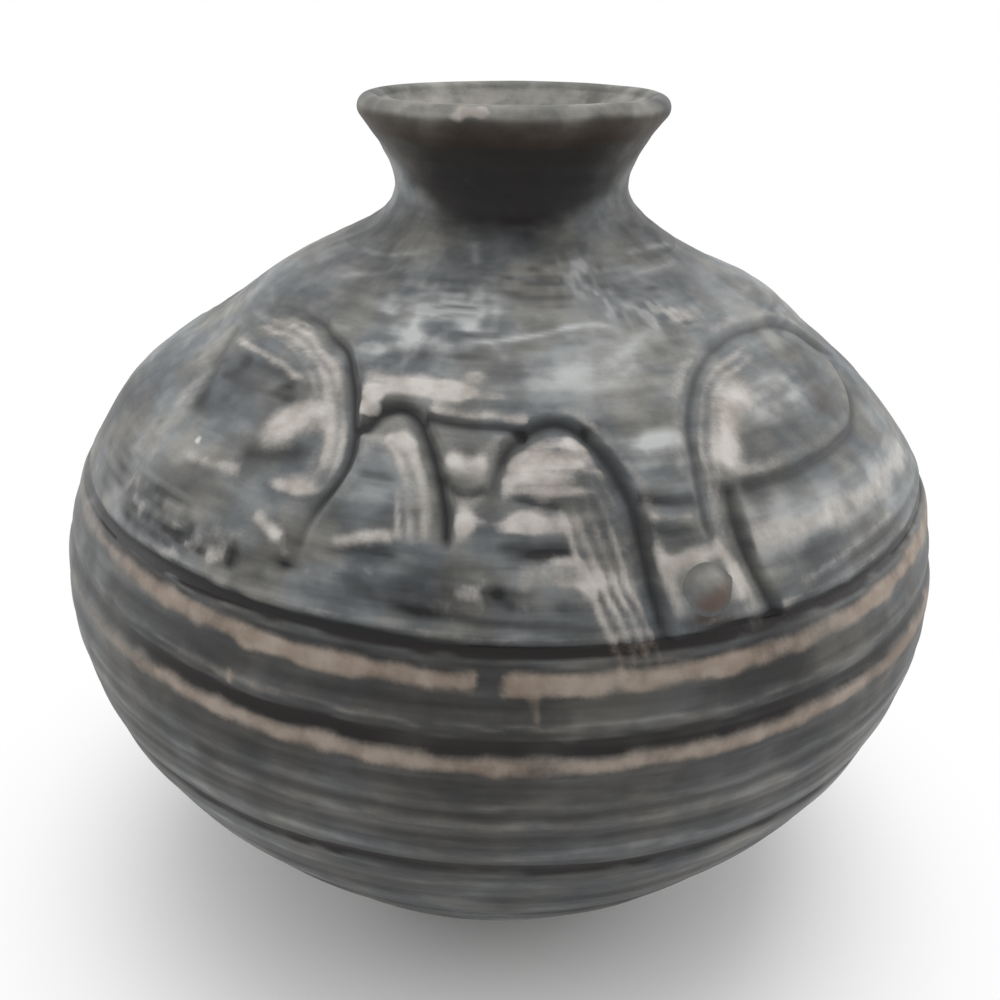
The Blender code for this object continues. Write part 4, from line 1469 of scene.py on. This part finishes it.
@dataclass
class Pellet(Piece):
    """A small dome of clay pressed into the band, dark at its hem, with a painted highlight on its top and
    rust with painted shade on its lower half.
    """

    slot: str = "pellet_glaze"
    segments: int = 96
    round_turn: float = 0.0
    turn: float = 23.0
    height: float = 42.8 * MM
    radius: float = 2.15 * MM
    crown: float = 0.50 * MM
    hem: float = 0.14 * MM
    sunk: float = 0.6 * MM
    roundness: float = 1.6
    rings: int = 26
    lean: float = 0.3
    shade_reach: float = 1.3
    # The pale film on the top is a painted highlight
    haze: float = 0.10
    pool: float = 0.08
    hem_pool: float = 0.22
    # Rust with painted shade on the lower half
    rust_and_shade: float = 0.75
    highlight_rise: float = 2.0
    hem_rise: float = 1.6
    rust_and_shade_rise: float = 2.5

    def shape(self) -> bpy.types.Object:
        """Spins the dome, tints it and bends it onto the wall.

        Returns:
            The pellet in its place, with its traces.
        """
        reach = np.linspace(1, 0, self.rings)
        swell = self.crown * np.cos(UPRIGHT * reach) ** self.roundness - self.hem * reach**2
        dome = np.column_stack([self.radius * reach, swell])
        outline = np.vstack([(self.radius, -self.sunk), dome, (0, -self.sunk)])
        piece = spin_outline(self.name, outline, self.segments)
        mesh = piece.data
        take_values(mesh, STATION)
        places = read_places(mesh)
        rise = np.clip(places[:, 2] / self.crown, 0, 1)
        upward = (places[:, 1] - self.lean * places[:, 0]) / self.radius
        # The upper share marks the lit top: the film there is a painted highlight, and the brown below it is
        # rust with painted shade
        upper = smooth(0.5 + self.shade_reach * upward)
        tints = {
            CLAY: np.zeros_like(rise),
            FILM_AND_SHEEN: self.haze * smooth(self.highlight_rise * rise) * upper,
            POOL_AND_SHADE: self.hem_pool * (1 - smooth(self.hem_rise * rise)) + self.pool,
            BROWN: self.rust_and_shade * smooth(self.rust_and_shade_rise * rise) * (1 - upper),
        }
        for trace, amount in tints.items():
            write_values(mesh, trace.value, amount)
        write_places(mesh, self.press_on(places))
        return piece

    def press_on(self, places: Array) -> Array:
        """Bends the flat pellet onto the curved wall.

        Args:
            places: Its points, as right, up along the wall and out of it.

        Returns:
            Their places on the pot.
        """
        middle = self.wall.length_at(self.height)
        length = middle + places[:, 1]
        base = self.wall.at(length)
        spot = base + (base - self.wall.at(length, 1.0)) * places[:, 2:]
        around = math.radians(self.turn + self.round_turn) + places[:, 0] / self.wall.at(middle)[0, 0]
        return swing(spot[:, 0], around, spot[:, 1])


def spin_outline(name: str, outline: Array, segments: int) -> bpy.types.Object:
    """Spins a closed outline of radius and height points round the Z axis.

    Args:
        name: The new object's name.
        outline: Its points, one row of radius and height each. A side on the axis is left open.
        segments: Steps round the pot.

    Returns:
        The turned object, whose vertices hold the number of their outline point as station.
    """
    bpy.ops.object.select_all(action="DESELECT")
    bpy.ops.mesh.primitive_circle_add(vertices=len(outline), radius=MM, fill_type="NOTHING")
    piece = bpy.context.active_object
    piece.name = name
    mesh = piece.data
    mesh.name = name
    write_places(mesh, np.column_stack([outline[:, 0], np.zeros(len(outline)), outline[:, 1]]))
    write_values(mesh, STATION, np.arange(len(outline), dtype=float))
    on_axis = outline[:, 0] < MERGE
    for edge in mesh.edges:
        edge.select = all(on_axis[corner] for corner in edge.vertices)
    bpy.ops.object.mode_set(mode="EDIT")
    bpy.ops.mesh.select_mode(type="EDGE")
    if on_axis.sum() > 1:
        bpy.ops.mesh.delete(type="EDGE")
    bpy.ops.object.mode_set(mode="OBJECT")
    turning = piece.modifiers.new("turning", "SCREW")
    turning.axis = "Z"
    turning.angle = math.tau
    turning.steps = segments
    turning.render_steps = segments
    turning.use_merge_vertices = True
    turning.merge_threshold = MERGE
    bpy.ops.object.modifier_apply(modifier=turning.name)
    bpy.ops.object.mode_set(mode="EDIT")
    bpy.ops.mesh.select_all(action="SELECT")
    bpy.ops.mesh.remove_doubles(threshold=MERGE)
    bpy.ops.mesh.normals_make_consistent(inside=False)
    bpy.ops.object.mode_set(mode="OBJECT")
    return piece


def read_places(mesh: bpy.types.Mesh) -> Array:
    """Reads where a mesh's vertices are.

    Args:
        mesh: The mesh.

    Returns:
        One row for each vertex.
    """
    places = np.empty(len(mesh.vertices) * 3)
    mesh.vertices.foreach_get("co", places)
    return places.reshape(-1, 3)


def write_places(mesh: bpy.types.Mesh, places: Array) -> None:
    """Moves a mesh's vertices to these places."""
    mesh.vertices.foreach_set("co", places.ravel())
    mesh.update()


def take_values(mesh: bpy.types.Mesh, name: str) -> Array:
    """Reads an attribute of a mesh's vertices and takes it off the mesh.

    Args:
        mesh: The mesh.
        name: The attribute's name.

    Returns:
        One value for each vertex.
    """
    values = np.empty(len(mesh.vertices))
    mesh.attributes[name].data.foreach_get("value", values)
    mesh.attributes.remove(mesh.attributes[name])
    return values


def write_values(mesh: bpy.types.Mesh, name: str, values: Array) -> None:
    """Keeps values for a mesh's vertices as an attribute."""
    attribute = mesh.attributes.new(name, "FLOAT", "POINT")
    attribute.data.foreach_set("value", values.astype(np.float32))


@dataclass(frozen=True)
class SoftBox:
    """A square area lamp that faces a point."""

    name: str
    place: tuple[float, float, float]
    size: float
    power: float
    target: tuple[float, float, float] = (0.0, 0.0, 0.035)

    def hang(self) -> None:
        """Adds the lamp to the scene."""
        lamp = bpy.data.lights.new(self.name, "AREA")
        lamp.shape = "SQUARE"
        lamp.size = self.size
        lamp.energy = self.power
        holder = bpy.data.objects.new(self.name, lamp)
        holder.location = self.place
        aim = Vector(self.target) - Vector(self.place)
        holder.rotation_euler = aim.to_track_quat("-Z", "Y").to_euler()
        bpy.context.scene.collection.objects.link(holder)


@dataclass(frozen=True)
class Studio:
    """A pale floor, soft lamps and the camera that looks down on the pot."""

    floor_size: float = 12.0
    floor_tone: float = 0.88
    shadow_core: float = 0.021
    shadow_reach: float = 0.06
    world_light: float = 0.55
    camera_place: tuple[float, float, float] = (-0.06 * MM, -93.52 * MM, 77.14 * MM)
    camera_target: tuple[float, float, float] = (-0.06 * MM, 0.0, 33.945 * MM)
    camera_roll: float = 0.0328
    focal_share: float = 1.1043
    sensor: float = 36.0
    lamps: tuple[SoftBox, ...] = (
        SoftBox("top_lamp", (0.03, 0.12, 0.60), 0.50, 2.2),
        SoftBox("left_lamp", (-0.55, 0.08, 0.22), 0.40, 1.35),
        SoftBox("right_lamp", (0.55, 0.12, 0.25), 0.40, 1.3),
    )

    def lay_floor(self) -> None:
        """Lays the floor, which shows the pot's shadow and turns white away from it."""
        bpy.ops.object.select_all(action="DESELECT")
        bpy.ops.mesh.primitive_plane_add(size=self.floor_size)
        floor = bpy.context.active_object
        floor.name = "floor"
        material = bpy.data.materials.new("pale_floor")
        bench = NodeBench(material)
        nodes = bench.tree.nodes
        nodes.remove(nodes["Principled BSDF"])
        tone = (self.floor_tone, self.floor_tone, self.floor_tone)
        matte = bench.add("BsdfDiffuse", {"Color": tone}).outputs[0]
        white = bench.add("Emission", {"Color": WHITE, "Strength": 1.0}).outputs[0]
        distance = bench.add("VectorMath", {0: bench.coords()}, operation="LENGTH").outputs["Value"]
        away = bench.spread(distance, self.shadow_core, self.shadow_reach)
        seen = bench.math("MULTIPLY", away, bench.background_ray())
        blend = bench.add("MixShader", {"Fac": seen, 1: matte, 2: white}).outputs[0]
        bench.feed(nodes["Material Output"].inputs["Surface"], blend)
        floor.data.materials.append(material)

    def light(self) -> None:
        """Hangs the lamps and sets the world: plain light, and white where it is seen."""
        for lamp in self.lamps:
            lamp.hang()
        world = bpy.data.worlds.new("studio")
        bpy.context.scene.world = world
        bench = NodeBench(world)
        strength = {"Value": bench.background_ray(), "To Min": self.world_light, "To Max": 1.0}
        backdrop = bench.tree.nodes["Background"]
        bench.feed(backdrop.inputs["Strength"], bench.add("MapRange", strength).outputs["Result"])
        bench.feed(backdrop.inputs["Color"], WHITE)

    def set_camera(self) -> None:
        """Sets the camera at the viewing angle, close above the pot and slightly rolled."""
        lens = bpy.data.cameras.new("camera")
        lens.sensor_fit = "HORIZONTAL"
        lens.sensor_width = self.sensor
        lens.lens = self.sensor * self.focal_share
        lens.clip_start = MM
        lens.clip_end = self.floor_size * 2
        camera = bpy.data.objects.new("camera", lens)
        place = Vector(self.camera_place)
        forward = (Vector(self.camera_target) - place).normalized()
        level = forward.cross(Vector((0, 0, 1))).normalized()
        upright = level.cross(forward)
        right = level * math.cos(self.camera_roll) + upright * math.sin(self.camera_roll)
        up = upright * math.cos(self.camera_roll) - level * math.sin(self.camera_roll)
        camera.matrix_world = Matrix.Translation(place) @ Matrix((right, up, -forward)).transposed().to_4x4()
        bpy.context.scene.collection.objects.link(camera)
        bpy.context.scene.camera = camera

    def set_up(self) -> None:
        """Makes the whole studio."""
        self.lay_floor()
        self.light()
        self.set_camera()
        bpy.context.scene.view_settings.view_transform = "Standard"


def main() -> None:
    """Builds the pot section by section, from the foot up, and sets the studio."""
    logging.basicConfig(level=logging.INFO, format="%(message)s")
    wall = WallCurve()
    bare = SlipFinish("bare_clay_finish", clay_base=0.9, roughness=0.6)
    ringed = SlipFinish(
        "ringed_finish",
        clay_deep=(0.234, 0.184, 0.146),
        clay_pale=(0.342, 0.287, 0.242),
        cool_tint=(0.96, 0.98, 1.0),
        brushed=0.30,
    )
    carved = SlipFinish("carved_finish", pool_and_shade_colour=(0.018, 0.018, 0.019), brushed=0.28)
    # On the neck the pool colour mostly paints the shade of its front
    collar = SlipFinish("neck_finish", pool_and_shade_colour=(0.026, 0.0235, 0.0235), specular=0.07)
    # On the rim the pool colour paints the neck's shade, and the brown colour the shadow under the lip
    warm = SlipFinish(
        "rim_finish",
        film_and_sheen_colour=(0.420, 0.405, 0.360),
        cool_tint=(1.0, 0.98, 0.94),
        warm_tint=(1.0, 0.955, 0.88),
        pool_and_shade_colour=(0.026, 0.0225, 0.021),
        specular=0.08,
    )
    # The pellet's brown colour paints rust and the shade of its lower half
    rusty_shaded = SlipFinish("pellet_finish", brown_and_shade_colour=(0.112, 0.068, 0.049))
    sections = (
        FootRing(wall, bare),
        LowerBowl(wall, ringed),
        CarvedShoulder(wall, carved),
        NeckCollar(wall, collar),
        MouthRim(wall, warm),
        Pellet(wall, rusty_shaded, "pellet_front", "pellet_1"),
        Pellet(wall, rusty_shaded, "pellet_back", "pellet_2", round_turn=BAND_PERIOD),
    )
    for section in sections:
        piece = section.build()
        log.info("%s: %d faces, for %s", piece.name, len(piece.data.polygons), section.node)
    Studio().set_up()


if __name__ == "__main__":
    main()
